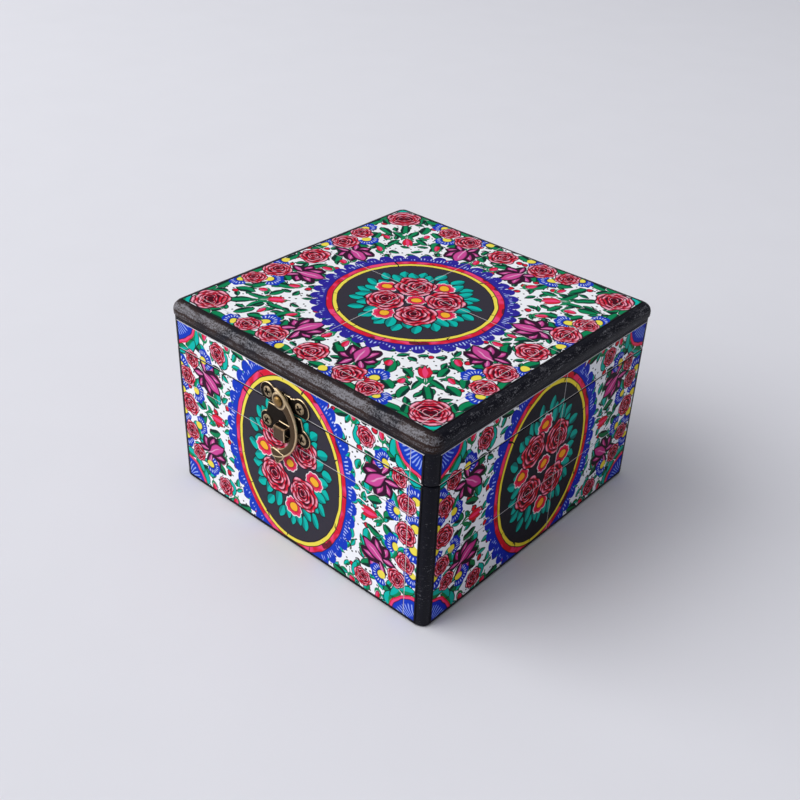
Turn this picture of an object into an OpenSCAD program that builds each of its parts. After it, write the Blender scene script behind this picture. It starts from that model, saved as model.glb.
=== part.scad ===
// Jack in the box with a hook latch. The case is a finger-jointed wooden box under a
// rounded lid board, covered with printed paper and painted along its edges. A cloth
// jester on a coil spring stands inside and comes up as the lid is opened.
// Millimetres, +Z up, latch towards -Y, hinges towards +Y, origin under the middle of the floor.

/* [Case] */
// Outside width of the wooden case, left to right
case_w = 150; // [148:1:160]
// Outside depth of the wooden case, front to back
case_d = 150; // [148:1:160]
// Height of the lower box, up to the seam
body_h = 70.1; // [70:0.1:76]
// Thickness of the walls and of the lid rails
wall_t = 8; // [7:0.5:9]
// Thickness of the floor board
floor_t = 6; // [5:0.5:6]
// Radius of the upright corners
corner_r = 4.5; // [3:0.5:6]
// Finger-joint rows in the lower box, an odd number
case_rows = 7; // [5:2:9]

/* [Lid] */
// Gap along the seam between the lower box and the lid
seam_gap = 0.4; // [0.3:0.1:0.6]
// Height of the lid rails
rail_h = 15.5; // [15.5:0.5:18]
// Finger-joint rows in the lid rails, an odd number
rail_rows = 3; // [3:2:5]
// Thickness of the lid board
board_t = 6.5; // [6:0.5:9]
// How far the lid board stands out over the rails
overhang = 0.5; // [0.3:0.1:2]
// Radius of the lid board's upper edge
board_round = 4; // [3:0.5:4.5]
// Radius of the lid board's lower edge
board_ease = 1; // [0.5:0.5:1.5]

/* [Printed paper] */
// Thickness of the paper with its varnish
paper_t = 0.25; // [0.2:0.05:0.4]
// Painted strip left bare beside each upright corner
side_margin = 4.2; // [3:0.1:6]
// Painted strip left bare at the foot
foot_margin = 1; // [0.5:0.5:2]
// Painted strip left bare under the lid board
under_board = 1.6; // [1:0.1:3]
// Distance from the edge of the lid board to the top paper
top_margin = 4.2; // [4:0.1:6]
// Distance from the seam to the paper on either side of it
seam_margin = 0.2; // [0.1:0.1:0.5]

/* [Hinges] */
// Distance between the middles of the two hinges
hinge_spacing = 92; // [70:2:110]
// Length of a hinge along its pin
hinge_w = 20; // [18:1:24]
// Height of a hinge leaf below or above the pin
leaf_h = 12.5; // [12:0.5:13]
// Thickness of a hinge leaf
leaf_t = 0.9; // [0.8:0.1:1.1]
// Outer radius of the knuckles
knuckle_r = 2; // [1.8:0.1:2.2]
// Radius of the hinge pins
pin_r = 0.9; // [0.8:0.05:1]
// Radial clearance of whatever turns on a pin or a rivet
run_fit = 0.05; // [0.02:0.01:0.08]
// Angle at which the stop lugs of the hinges meet
stop_angle = 106.5; // [100:0.5:110]

/* [Latch] */
// Sideways place of the latch's middle
latch_x = -2.2; // [-6:0.1:6]
// Thickness of the stamped plates
plate_t = 0.8; // [0.7:0.1:1]
// Thickness of the swinging hook
hook_t = 1.2; // [1:0.1:1.4]
// Height of the rivet that the hook turns on
rivet_z = 74.7; // [74.5:0.1:76]
// Sideways place of the rivet, from the latch's middle
rivet_dx = -1; // [-1.5:0.1:0]
// Radius of the rivet's shank
rivet_r = 1.2; // [1:0.1:1.3]
// Radius of the screw heads
screw_head_r = 2.7; // [2.2:0.1:2.8]
// Radius of the screw shanks
screw_r = 1.1; // [0.9:0.1:1.2]
// Length of the screw shanks
screw_len = 6; // [5:0.5:6.5]

/* [Spring and sleeve] */
// Radius of the spring's middle coils, to the middle of the wire
coil_r = 16.5; // [15:0.5:17]
// Radius of the first and last coil, where they are stapled down
end_coil_r = 20; // [19.5:0.5:20]
// Radius of the spring wire
wire_r = 0.8; // [0.6:0.1:0.8]
// Number of turns
turns = 7; // [6:1:7]
// Height from one turn to the next with the lid closed
coil_pitch = 1.7; // [1.65:0.01:1.7]
// Number of folds that the closed sleeve lies in
sleeve_folds = 6; // [5:1:7]
// Inner radius of the sleeve's folds
sleeve_in = 23.2; // [23:0.1:24]
// Outer radius of the sleeve's folds
sleeve_out = 35; // [33:0.5:36]

/* [Jack] */
// Radius of the spring's wooden cap
cap_r = 22; // [21.5:0.5:22.5]
// Thickness of the spring's wooden cap
cap_t = 3; // [2.5:0.5:3]
// Radius of the stuffed chest
chest_r = 25; // [23:0.5:26]
// Height of the stuffed chest
chest_h = 13; // [12:0.5:13]
// Radius of the neck dowel
dowel_r = 4; // [3:0.5:4.5]
// Radius of the turned head
head_r = 19; // [18:0.5:19]
// Height of the head's middle
head_z = 56; // [55.5:0.5:56]
// Outer radius of the ruff
ruff_r = 28; // [26:0.5:28]
// Number of pleats in the ruff
ruff_pleats = 18; // [14:1:22]
// Reach of the side horns of the cap, to either side
horn_reach = 44; // [40:1:46]
// Radius of the nose
nose_r = 3.8; // [3:0.2:4.2]
// Radius of the bells
bell_r = 4; // [3:0.5:4.5]
// Radius of the hands
hand_r = 5.5; // [5:0.5:6]

/* [Hidden] */
$fn = 48;

// the case
half_w = case_w / 2;
half_d = case_d / 2;
inner_w = case_w - 2 * wall_t;
inner_d = case_d - 2 * wall_t;
lid_z = body_h + seam_gap;
seam_z = body_h + seam_gap / 2;
board_z = lid_z + rail_h;
top_z = board_z + board_t;
board_w = case_w + 2 * overhang;
board_d = case_d + 2 * overhang;
plan_r = corner_r + overhang;
face = half_d + paper_t;       // outside of the paper on the front and the back

// the hinges
axis_y = face + knuckle_r;
segments = 5;
segment_w = hinge_w / segments;
segment_gap = 0.15;
knuckle_room = 0.35;
leaf_screw_x = 6.2;
leaf_screw_z = 8.2;
leaf_head_r = 1.8;
leaf_shank_r = 0.8;
leaf_shank_len = 5;
lug_reach = 4.6;               // from the pin's axis to the lugs' outer edge
lug_from = 60;                 // the lid lug's faces, as angles about the pin
lug_to = 112;
pin_button_r = 1.4;

// the latch, in depths out from the paper
plate_edge = 0.4;
boss_t = 1;
hook_from = plate_t + boss_t + 0.1;
rivet_head_from = hook_from + hook_t + 0.1;
rivet_head_t = 1.1;
upper_screw = [9.3, 74.8];
lower_screw = [10.3, 60.6];
catch_w = 6.4;
catch_z = [56.4, 63.2];
catch_out = 4.4;
catch_wall = 1;
screw_head_t = 0.9;
cross_w = 0.7;

// the spring, the sleeve and the jack
spring_h = turns * coil_pitch + 2 * wire_r;
cap_z = floor_t + spring_h;
chest_z = cap_z + cap_t;
ruff_z = chest_z + chest_h;
ruff_t = 5;
cloth_t = 0.9;
staple_r = 0.4;
staple_rise = 0.4;
cap_shell = 1.2;
cap_from = head_z + 5;
cap_room = 0.3;                // clearance between the cap's cloth and the head
band_h = 3.2;
band_t = 2.2;
hand_at = [54, -17, 40];
horn_top = 73.5;
nose_drop = 8;                 // how far below level the nose points, in degrees

// ---------- shared shapes ----------

// A rectangle with true round corners.
module round_rect(w, d, r) {
    square([w - 2 * r, d], center = true);
    square([w, d - 2 * r], center = true);
    for (x = [-1, 1], y = [-1, 1]) translate([x * (w / 2 - r), y * (d / 2 - r)]) circle(r);
}

// Draws a flat shape on the front paper: its x stays x, its y becomes z, and it grows to -Y.
module on_front(out, t) {
    translate([0, -face - out, 0]) rotate([90, 0, 0]) linear_extrude(t) children();
}

// The side view of a wall: a plain middle with fingers in every other row.
module finger_comb(inner, outer, h, rows, first) {
    translate([-inner / 2, 0]) square([inner, h]);
    for (i = [first : 2 : rows - 1])
        translate([-outer / 2, i * h / rows]) square([outer, h / rows]);
}

// A finger-jointed wall across the front (side = -1) or the back (side = 1).
module wall_across(side, z, h, rows) {
    intersection() {
        translate([0, side * (half_d - wall_t / 2) + wall_t / 2, z])
            rotate([90, 0, 0]) linear_extrude(wall_t) finger_comb(inner_w, case_w, h, rows, 0);
        translate([0, 0, z]) linear_extrude(h) round_rect(case_w, case_d, corner_r);
    }
}

// A finger-jointed wall along the left (side = -1) or the right (side = 1).
module wall_along(side, z, h, rows) {
    intersection() {
        translate([side * (half_w - wall_t / 2) - wall_t / 2, 0, z])
            rotate([90, 0, 90]) linear_extrude(wall_t) finger_comb(inner_d, case_d, h, rows, 1);
        translate([0, 0, z]) linear_extrude(h) round_rect(case_w, case_d, corner_r);
    }
}

// A sheet of paper on the front or the back.
module paper_across(side, z, h) {
    w = case_w - 2 * side_margin;
    translate([-w / 2, side * (half_d + paper_t / 2) - paper_t / 2, z]) cube([w, paper_t, h]);
}

// A sheet of paper on the left or the right.
module paper_along(side, z, h) {
    d = case_d - 2 * side_margin;
    translate([side * (half_w + paper_t / 2) - paper_t / 2, -d / 2, z]) cube([paper_t, d, h]);
}

// A wood screw with a low round head and a cross in it, pointing down from z = 0.
module wood_screw(head_r, head_t, shank_r, length) {
    dome_r = (head_r * head_r + head_t * head_t) / (2 * head_t);
    difference() {
        intersection() {
            translate([0, 0, head_t - dome_r]) sphere(dome_r);
            cylinder(r = head_r, h = 2 * head_t);
        }
        for (a = [0, 90]) rotate(a)
            translate([0, 0, head_t]) cube([head_r * 1.2, cross_w, head_t], center = true);
    }
    translate([0, 0, -length]) cylinder(r = shank_r, h = length);
}

// A round-sided solid swept along a path, with a radius for each point of the path.
function unit(v) = v / norm(v);
function heading(path, i) = unit(path[min(i + 1, len(path) - 1)] - path[max(i - 1, 0)]);
module swept(path, radii, sides, up) {
    rings = len(path);
    points = [for (i = [0 : rings - 1])
        let (t = heading(path, i), n = unit(cross(up, t)), b = cross(t, n))
        for (j = [0 : sides - 1])
            let (a = 360 * j / sides) path[i] + radii[i] * (cos(a) * n + sin(a) * b)];
    skin = [for (i = [0 : rings - 2], j = [0 : sides - 1]) let (k = (j + 1) % sides)
        [i * sides + j, (i + 1) * sides + j, (i + 1) * sides + k, i * sides + k]];
    ends = [[for (j = [0 : sides - 1]) j],
        [for (j = [sides - 1 : -1 : 0]) (rings - 1) * sides + j]];
    polyhedron(points, concat(skin, ends));
}

// ---------- the case ----------

module floor_board() {
    color("burlywood") translate([-inner_w / 2, -inner_d / 2, 0]) cube([inner_w, inner_d, floor_t]);
}

module wall_front() { color([0.1, 0.09, 0.09]) wall_across(-1, 0, body_h, case_rows); }
module wall_back() { color([0.1, 0.09, 0.09]) wall_across(1, 0, body_h, case_rows); }
module wall_left() { color([0.1, 0.09, 0.09]) wall_along(-1, 0, body_h, case_rows); }
module wall_right() { color([0.1, 0.09, 0.09]) wall_along(1, 0, body_h, case_rows); }

case_paper_h = body_h - foot_margin - seam_margin;
module paper_case_front() { color("royalblue") paper_across(-1, foot_margin, case_paper_h); }
module paper_case_back() { color("royalblue") paper_across(1, foot_margin, case_paper_h); }
module paper_case_left() { color("royalblue") paper_along(-1, foot_margin, case_paper_h); }
module paper_case_right() { color("royalblue") paper_along(1, foot_margin, case_paper_h); }

// ---------- the lid ----------

module rail_front() { color([0.1, 0.09, 0.09]) wall_across(-1, lid_z, rail_h, rail_rows); }
module rail_back() { color([0.1, 0.09, 0.09]) wall_across(1, lid_z, rail_h, rail_rows); }
module rail_left() { color([0.1, 0.09, 0.09]) wall_along(-1, lid_z, rail_h, rail_rows); }
module rail_right() { color([0.1, 0.09, 0.09]) wall_along(1, lid_z, rail_h, rail_rows); }

// The section of the board's edge, out from the middle of its round corner.
module board_section() {
    intersection() {
        square([plan_r, board_t]);
        union() {
            square([plan_r - board_round, board_t]);
            square([plan_r - board_ease, board_t - board_round]);
            translate([0, board_ease]) square([plan_r, board_t - board_round - board_ease]);
            translate([plan_r - board_round, board_t - board_round]) circle(board_round);
            translate([plan_r - board_ease, board_ease]) circle(board_ease);
        }
    }
}

module lid_board() {
    in_w = board_w / 2 - plan_r;
    in_d = board_d / 2 - plan_r;
    color([0.16, 0.14, 0.13]) translate([0, 0, board_z]) {
        translate([-in_w, -in_d, 0]) cube([2 * in_w, 2 * in_d, board_t]);
        for (side = [-1, 1]) {
            translate([side * in_w, 0, 0]) rotate([90, 0, side > 0 ? 0 : 180])
                linear_extrude(2 * in_d, center = true) board_section();
            translate([0, side * in_d, 0]) rotate([90, 0, 90 * side])
                linear_extrude(2 * in_w, center = true) board_section();
        }
        for (i = [0 : 3]) let (x = i == 0 || i == 3 ? 1 : -1, y = i < 2 ? 1 : -1)
            translate([x * in_w, y * in_d, 0]) rotate(90 * i)
                rotate_extrude(angle = 90) board_section();
    }
}

module paper_top() {
    w = board_w - 2 * top_margin;
    d = board_d - 2 * top_margin;
    color("white") translate([-w / 2, -d / 2, top_z]) cube([w, d, paper_t]);
}

lid_paper_z = lid_z + seam_margin;
lid_paper_h = rail_h - seam_margin - under_board;
module paper_lid_front() { color("royalblue") paper_across(-1, lid_paper_z, lid_paper_h); }
module paper_lid_back() { color("royalblue") paper_across(1, lid_paper_z, lid_paper_h); }
module paper_lid_left() { color("royalblue") paper_along(-1, lid_paper_z, lid_paper_h); }
module paper_lid_right() { color("royalblue") paper_along(1, lid_paper_z, lid_paper_h); }

// ---------- the hinges ----------

// Puts its children at a hinge's pin, with x along the pin: side is -1 for the left hinge.
module at_hinge(side) {
    translate([side * hinge_spacing / 2, axis_y, seam_z]) children();
}

// Lengthwise pieces of a hinge: the numbered segments, each shortened or lengthened by grow.
module along_pin(which, grow) {
    for (i = which) translate([-hinge_w / 2 + i * segment_w - grow, 0, 0])
        rotate([90, 0, 90]) linear_extrude(segment_w + 2 * grow) children();
}

// A slice of a disc between two angles, about the pin.
module sector(r, from, to) {
    polygon([[0, 0], r * [cos(from), sin(from)],
        r / cos((to - from) / 2) * [cos((from + to) / 2), sin((from + to) / 2)],
        r * [cos(to), sin(to)]]);
}

// A leaf that hangs below the pin (up = -1) or stands above it (up = 1).
module leaf(up, own, others, bore_r) {
    difference() {
        union() {
            translate([-hinge_w / 2, -knuckle_r, up > 0 ? 0 : -leaf_h])
                cube([hinge_w, leaf_t, leaf_h]);
            along_pin(own, -segment_gap / 2) circle(knuckle_r);
            children();
        }
        along_pin(others, segment_gap / 2) circle(knuckle_r + knuckle_room);
        rotate([0, 90, 0]) cylinder(r = bore_r, h = 2 * hinge_w, center = true);
        for (x = [-1, 1]) translate([x * leaf_screw_x, 0, up * leaf_screw_z])
            rotate([90, 0, 0]) cylinder(r = leaf_shank_r + 0.2, h = 2 * leaf_h, center = true);
    }
}

module case_leaf(side) {
    stop_face = lug_from - stop_angle;
    color("goldenrod") at_hinge(side) leaf(-1, [0, 2, 4], [1, 3], pin_r)
        along_pin([1, 3], -segment_gap) polygon([[0, 0], lug_reach * [cos(stop_face), sin(stop_face)],
            [leaf_t - knuckle_r, -lug_reach - 1.4], [leaf_t - knuckle_r - 0.1, 0]]);
}

module lid_leaf(side) {
    color("goldenrod") at_hinge(side) leaf(1, [1, 3], [0, 2, 4], pin_r + run_fit)
        along_pin([1, 3], -segment_gap) sector(lug_reach, lug_from, lug_to);
}

module hinge_case_left() { case_leaf(-1); }
module hinge_case_right() { case_leaf(1); }
module hinge_lid_left() { lid_leaf(-1); }
module hinge_lid_right() { lid_leaf(1); }

// The pin, with a rounded button at each end.
module hinge_pin(side) {
    color("darkgoldenrod") at_hinge(side) rotate([0, 90, 0]) {
        cylinder(r = pin_r, h = hinge_w, center = true);
        for (end = [-1, 1]) translate([0, 0, end * (hinge_w / 2 + pin_button_r / 2)])
            intersection() {
                sphere(pin_button_r);
                cube([4, 4, pin_button_r], center = true);
            }
    }
}
module hinge_pin_left() { hinge_pin(-1); }
module hinge_pin_right() { hinge_pin(1); }

module leaf_screws(up) {
    color("darkgoldenrod") for (side = [-1, 1], x = [-1, 1])
        translate([side * hinge_spacing / 2 + x * leaf_screw_x, face + leaf_t, seam_z + up * leaf_screw_z])
            rotate([-90, 0, 0]) wood_screw(leaf_head_r, 0.7, leaf_shank_r, leaf_shank_len);
}
module hinge_case_screws() { leaf_screws(-1); }
module hinge_lid_screws() { leaf_screws(1); }

// ---------- the latch ----------

module plate_screws(at) {
    color([0.55, 0.47, 0.33]) for (x = [-1, 1])
        translate([latch_x + x * at[0], -face - plate_t, at[1]])
            rotate([90, 0, 0]) rotate(20 * x) wood_screw(screw_head_r, screw_head_t, screw_r, screw_len);
}
module latch_screws() { plate_screws(upper_screw); }
module catch_screws() { plate_screws(lower_screw); }

// The upper plate: two round lobes with a bridge between them, nicked where they meet.
module latch_plate() {
    lobe_r = 4.9;
    bridge_z = 77.8;
    color([0.3, 0.25, 0.18]) difference() {
        union() {
            on_front(0, plate_t) translate([latch_x, 0]) difference() {
                union() {
                    for (x = [-1, 1]) translate([x * upper_screw[0], upper_screw[1] - 0.6]) circle(lobe_r);
                    translate([-upper_screw[0], seam_z + 0.5])
                        square([2 * upper_screw[0], bridge_z - seam_z - 0.5]);
                }
                for (x = [-1, 1]) translate([x * 4.3, bridge_z + 0.5]) circle(1);
                translate([-2 * lobe_r - upper_screw[0], seam_z + 0.5 - 2 * lobe_r])
                    square([4 * lobe_r + 2 * upper_screw[0], 2 * lobe_r]);
            }
            on_front(plate_t - plate_edge, boss_t + plate_edge)
                translate([latch_x + rivet_dx, rivet_z]) circle(3.3);
        }
        on_front(-1, 6) translate([latch_x + rivet_dx, rivet_z]) circle(rivet_r);
        on_front(-1, 6) for (x = [-1, 1])
            translate([latch_x + x * upper_screw[0], upper_screw[1]]) circle(screw_r + 0.2);
    }
}

// The lower plate: a straight upper edge, two lobes and a point, with the bent-out catch.
module catch_plate() {
    lobe_r = 4.3;
    top_edge = seam_z - 0.6;
    color([0.3, 0.25, 0.18]) {
        difference() {
            on_front(0, plate_t) translate([latch_x, 0]) {
                for (x = [-1, 1]) translate([x * lower_screw[0], lower_screw[1]]) circle(lobe_r);
                polygon([[-9.6, top_edge], [9.6, top_edge], [11.4, 63], [7, 57.4], [2, 54.6],
                    [-2, 54.6], [-7, 57.4], [-11.4, 63]]);
                translate([0, 56]) circle(2.4);
            }
            on_front(-1, 6) for (x = [-1, 1])
                translate([latch_x + x * lower_screw[0], lower_screw[1]]) circle(screw_r + 0.2);
        }
        catch_bridge();
    }
}

// The catch: a strap of plate bent out into a square loop that the hook passes beside.
module catch_bridge() {
    h = catch_z[1] - catch_z[0];
    depth = catch_out - plate_t;
    translate([latch_x - catch_w / 2, -face - plate_t, catch_z[0]])
        rotate([90, 0, 90]) linear_extrude(catch_w) difference() {
            union() {
                translate([-depth + 1.2, 0]) square([depth - 1.2 + plate_edge, h]);
                translate([-depth, 1.2]) square([depth, h - 2.4]);
                for (z = [1.2, h - 1.2]) translate([-depth + 1.2, z]) circle(1.2);
            }
            translate([-depth + catch_wall, catch_wall])
                square([depth - catch_wall, h - 2 * catch_wall]);
        }
}

// The hook: a crescent from the rivet round the catch's right side, with a finger tab below.
module latch_hook() {
    rivet = [latch_x + rivet_dx, rivet_z];
    color([0.42, 0.35, 0.26]) on_front(hook_from, hook_t) difference() {
        union() {
            translate(rivet) circle(4.1);
            intersection() {
                difference() {
                    translate(rivet + [-8, -11.6]) circle(18.2);
                    translate(rivet + [-6.2, -13.3]) circle(12);
                }
                polygon([rivet + [-1, 5], rivet + [13, 5], rivet + [13, -30], rivet + [-4.4, -30],
                    rivet + [-4.4, -24]]);
            }
            translate(rivet) polygon([[-6.3, -25.6], [-5.2, -28.4], [-3.1, -31], [-1, -31],
                [1.2, -28.6], [2.6, -25.8], [-1.6, -24.8], [-4.4, -24.4]]);
            translate(rivet + [-2.05, -30.6]) circle(1.25);
        }
        translate(rivet) circle(rivet_r + run_fit);
    }
}

module latch_rivet() {
    color([0.6, 0.48, 0.28]) translate([latch_x + rivet_dx, -face, rivet_z]) rotate([90, 0, 0]) {
        cylinder(r = rivet_r, h = rivet_head_from + 0.1);
        translate([0, 0, rivet_head_from]) intersection() {
            cylinder(r = 2.3, h = rivet_head_t);
            translate([0, 0, rivet_head_t - 3.2]) sphere(3.2);
        }
    }
}

// ---------- the spring and its sleeve ----------

coil_steps = 18;
coil_count = turns * coil_steps;
function coil_at(i) = let (
        turn = i / coil_steps,
        ends = max(0, 1 - turn, turn - turns + 1),
        r = coil_r + (end_coil_r - coil_r) * min(1, 1.6 * ends),
        a = 360 * turn)
    [r * cos(a), r * sin(a), floor_t + wire_r + turn * coil_pitch];

module coil_spring() {
    path = [for (i = [0 : coil_count]) coil_at(i)];
    color("silver") swept(path, [for (p = path) wire_r], 6, [0, 0, 1]);
}

// Three wire staples over an end coil, at height z, opening down (flip = 0) or up (flip = 180).
module staples(z, flip, angles) {
    arch = wire_r + staple_r + 0.15;
    leg = wire_r + 3;
    color("gray") for (a = angles) rotate(a) translate([end_coil_r, 0, z]) rotate([flip, 0, 0]) {
        rotate([90, 0, 0]) rotate_extrude(angle = 180) translate([arch, 0]) circle(staple_r, $fn = 16);
        for (x = [-1, 1]) translate([x * arch, 0, -leg]) cylinder(r = staple_r, h = leg, $fn = 16);
    }
}
module spring_staples_floor() { staples(floor_t + wire_r + staple_rise, 0, [20, 60, 100]); }
module spring_staples_cap() { staples(cap_z - wire_r - staple_rise, 180, [260, 300, 340]); }

// The sleeve, lying in folds round the closed spring.
module spring_sleeve() {
    low = floor_t + 0.2;
    high = chest_z - 0.1;
    steps = 2 * sleeve_folds;
    outer = [for (i = [0 : steps]) [i % 2 == 0 ? sleeve_in + cloth_t : sleeve_out, low + (high - low) * i / steps]];
    inner = [for (i = [steps : -1 : 0])
        [i % 2 == 0 ? sleeve_in : sleeve_out - cloth_t * 4, low + (high - low) * i / steps]];
    color("crimson") rotate_extrude() polygon(concat(outer, inner));
}

// ---------- the jack ----------

module spring_cap() {
    color("burlywood") difference() {
        translate([0, 0, cap_z]) cylinder(r = cap_r, h = cap_t);
        cylinder(r = dowel_r, h = case_w);
    }
}

module neck_dowel() {
    color("burlywood") translate([0, 0, cap_z]) cylinder(r = dowel_r, h = head_z - head_r / 2 - cap_z);
}

// The stuffed chest: round shoulders over a flat seat.
module chest() {
    shoulder = 9;
    color("gold") difference() {
        translate([0, 0, chest_z]) rotate_extrude() {
            square([chest_r - 2, 2]);
            translate([0, 2]) square([chest_r, chest_h - shoulder - 2]);
            translate([chest_r - 2, 2]) circle(2);
            square([chest_r - shoulder, chest_h]);
            intersection() {
                translate([chest_r - shoulder, chest_h - shoulder]) circle(shoulder);
                square([chest_r, chest_h]);
            }
        }
        cylinder(r = dowel_r, h = case_w);
    }
}

// A small pompom, flattened where it is sewn to the chest.
module chest_pompom() {
    pompom_r = 3.2;
    sewn = 1;
    color("royalblue") translate([0, sewn - chest_r - pompom_r, chest_z + 4]) rotate([90, 0, 0])
        difference() {
            sphere(pompom_r);
            translate([0, 0, -pompom_r - sewn / 2]) cube([2 * pompom_r, 2 * pompom_r, 3 * sewn], center = true);
        }
}

// The ruff: a flat collar with a scalloped edge, one scallop to each pleat.
module ruff() {
    steps = 4 * ruff_pleats;
    edge = [for (i = [0 : steps - 1]) let (a = 360 * i / steps)
        (ruff_r - 1.2 + 1.2 * cos(ruff_pleats * a)) * [cos(a), sin(a)]];
    color("white") difference() {
        translate([0, 0, ruff_z]) linear_extrude(ruff_t) polygon(edge);
        cylinder(r = dowel_r, h = case_w);
        translate([0, 0, head_z]) sphere(head_r + 0.2);
    }
}

// An arm: a stuffed sleeve from the shoulder out to the wrist.
module arm(side) {
    steps = 6;
    start = [chest_r - 4, 0, chest_z + 5];
    end = hand_at - hand_r * unit(hand_at - start);
    path = [for (i = [0 : steps]) let (t = i / steps, p = start + t * (end - start))
        [side * p[0], p[1], p[2] - sin(180 * t)]];
    color("crimson") difference() {
        swept(path, [for (i = [0 : steps]) 5.2 - 0.9 * i / steps], 12, [0, 0, 1]);
        translate([0, 0, chest_z - 1]) cylinder(r = chest_r + 0.1, h = chest_h + 1.1);
    }
}
module arm_left() { arm(-1); }
module arm_right() { arm(1); }

// A hand: a turned wooden ball with a thumb.
module hand(side) {
    color("peachpuff") translate([side * hand_at[0], hand_at[1], hand_at[2]]) {
        sphere(hand_r);
        translate([-side * 1.5, -3.2, 4.2]) sphere(2.2);
    }
}
module hand_left() { hand(-1); }
module hand_right() { hand(1); }

module head() {
    color("peachpuff") difference() {
        translate([0, 0, head_z]) sphere(head_r);
        cylinder(r = dowel_r, h = head_z - head_r / 2);
    }
}

// The nose: a ball hollowed to sit on the head.
module nose() {
    color("red") translate([0, 0, head_z]) rotate([90 + nose_drop, 0, 0]) difference() {
        translate([0, 0, head_r + 1]) sphere(nose_r);
        sphere(head_r);
    }
}

// A tuft of wool at the left side of the head, under the cap and over the ruff.
module hair_left() {
    color("orangered") difference() {
        translate([-head_r - 0.5, 2, head_z - 3]) sphere(7);
        translate([0, 0, head_z]) sphere(head_r + 0.1);
        translate([0, 0, cap_from - band_h - 0.1]) cylinder(r = 2 * head_r, h = head_r);
        translate([0, 0, ruff_z]) cylinder(r = ruff_r + 1, h = ruff_t + 0.2);
    }
}
module hair_right() { mirror([1, 0, 0]) hair_left(); }

// A horn of the cap: an arc that leaves the crown level, droops, and thins towards its bell.
horn_steps = 9;
function horn_path(reach, dir) = [for (i = [0 : horn_steps]) let (t = i / horn_steps)
    reach * sin(90 * t) * dir + [0, 0, horn_top - 22 * pow(t, 1.8) + 1.5 * sin(180 * t)]];
horn_radii = [for (i = [0 : horn_steps]) 9 - 6.6 * pow(i / horn_steps, 0.8)];

module jester_cap() {
    color("royalblue") difference() {
        union() {
            translate([0, 0, head_z]) sphere(head_r + cap_room + cap_shell);
            for (side = [-1, 1]) swept(horn_path(horn_reach, [side, 0.08, 0]), horn_radii, 12, [0, 1, 0]);
            swept(horn_path(horn_reach - 2, [0, 1, 0]), horn_radii, 12, [1, 0, 0]);
        }
        translate([0, 0, head_z]) sphere(head_r + cap_room);
        cylinder(r = 2 * head_r, h = cap_from);
    }
}

// The band along the cap's edge.
module cap_band() {
    color("gold") difference() {
        intersection() {
            translate([0, 0, head_z]) sphere(head_r + cap_room + band_t);
            translate([0, 0, cap_from - band_h]) cylinder(r = 2 * head_r, h = band_h);
        }
        translate([0, 0, head_z]) sphere(head_r + cap_room);
    }
}

function horn_end(reach, dir) = let (path = horn_path(reach, dir))
    path[horn_steps] + (bell_r + 0.3) * unit(path[horn_steps] - path[horn_steps - 1]);
bell_places = [horn_end(horn_reach, [-1, 0.08, 0]), horn_end(horn_reach, [1, 0.08, 0]),
    horn_end(horn_reach - 2, [0, 1, 0])];

// The bells: hollow balls, each with a slot across its lower half.
module bells() {
    color("gold") for (p = bell_places) translate(p) difference() {
        sphere(bell_r);
        sphere(bell_r - 0.6);
        translate([0, 0, -bell_r]) cube([2 * bell_r, 0.9, 1.2 * bell_r], center = true);
    }
}

module bell_pellets() {
    color("gray") for (p = bell_places) translate(p - [0, 0, bell_r - 2.1]) sphere(1.4);
}

floor_board();
wall_front();
wall_back();
wall_left();
wall_right();
paper_case_front();
paper_case_back();
paper_case_left();
paper_case_right();
hinge_case_left();
hinge_case_right();
hinge_pin_left();
hinge_pin_right();
hinge_case_screws();
catch_plate();
catch_screws();
spring_staples_floor();
lid_board();
rail_front();
rail_back();
rail_left();
rail_right();
paper_top();
paper_lid_front();
paper_lid_back();
paper_lid_left();
paper_lid_right();
hinge_lid_left();
hinge_lid_right();
hinge_lid_screws();
latch_plate();
latch_screws();
latch_rivet();
latch_hook();
coil_spring();
spring_sleeve();
spring_cap();
spring_staples_cap();
neck_dowel();
chest();
chest_pompom();
ruff();
arm_left();
arm_right();
hand_left();
hand_right();
head();
nose();
hair_left();
hair_right();
jester_cap();
cap_band();
bells();
bell_pellets();
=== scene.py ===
"""Dresses a jack in the box: papered case and lid, latch, hinges, and a jester on a spring."""

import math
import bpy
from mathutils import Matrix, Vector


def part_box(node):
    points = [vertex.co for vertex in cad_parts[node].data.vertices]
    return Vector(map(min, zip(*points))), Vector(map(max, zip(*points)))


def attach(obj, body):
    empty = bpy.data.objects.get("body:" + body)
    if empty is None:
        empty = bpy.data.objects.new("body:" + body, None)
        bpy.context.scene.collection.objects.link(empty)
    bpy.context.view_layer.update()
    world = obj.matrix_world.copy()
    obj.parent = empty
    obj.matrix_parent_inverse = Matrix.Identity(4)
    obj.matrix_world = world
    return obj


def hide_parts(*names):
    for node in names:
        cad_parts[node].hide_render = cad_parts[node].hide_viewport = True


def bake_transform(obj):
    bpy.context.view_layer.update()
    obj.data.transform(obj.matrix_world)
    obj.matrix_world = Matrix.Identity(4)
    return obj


bl_info = {
    "name": "Jack in the Box",
    "version": (1, 0, 0),
    "blender": (4, 5, 0),
    "location": "View3D > Sidebar > Jack in the Box",
    "description": "Papered wooden case with a hook latch, and the jester on a spring inside it",
    "category": "Add Mesh",
}

from collections import namedtuple
from functools import reduce

import bmesh
import bpy
import numpy as np
from bpy.props import FloatProperty, FloatVectorProperty, IntProperty, PointerProperty
from mathutils import Matrix, Vector

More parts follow.
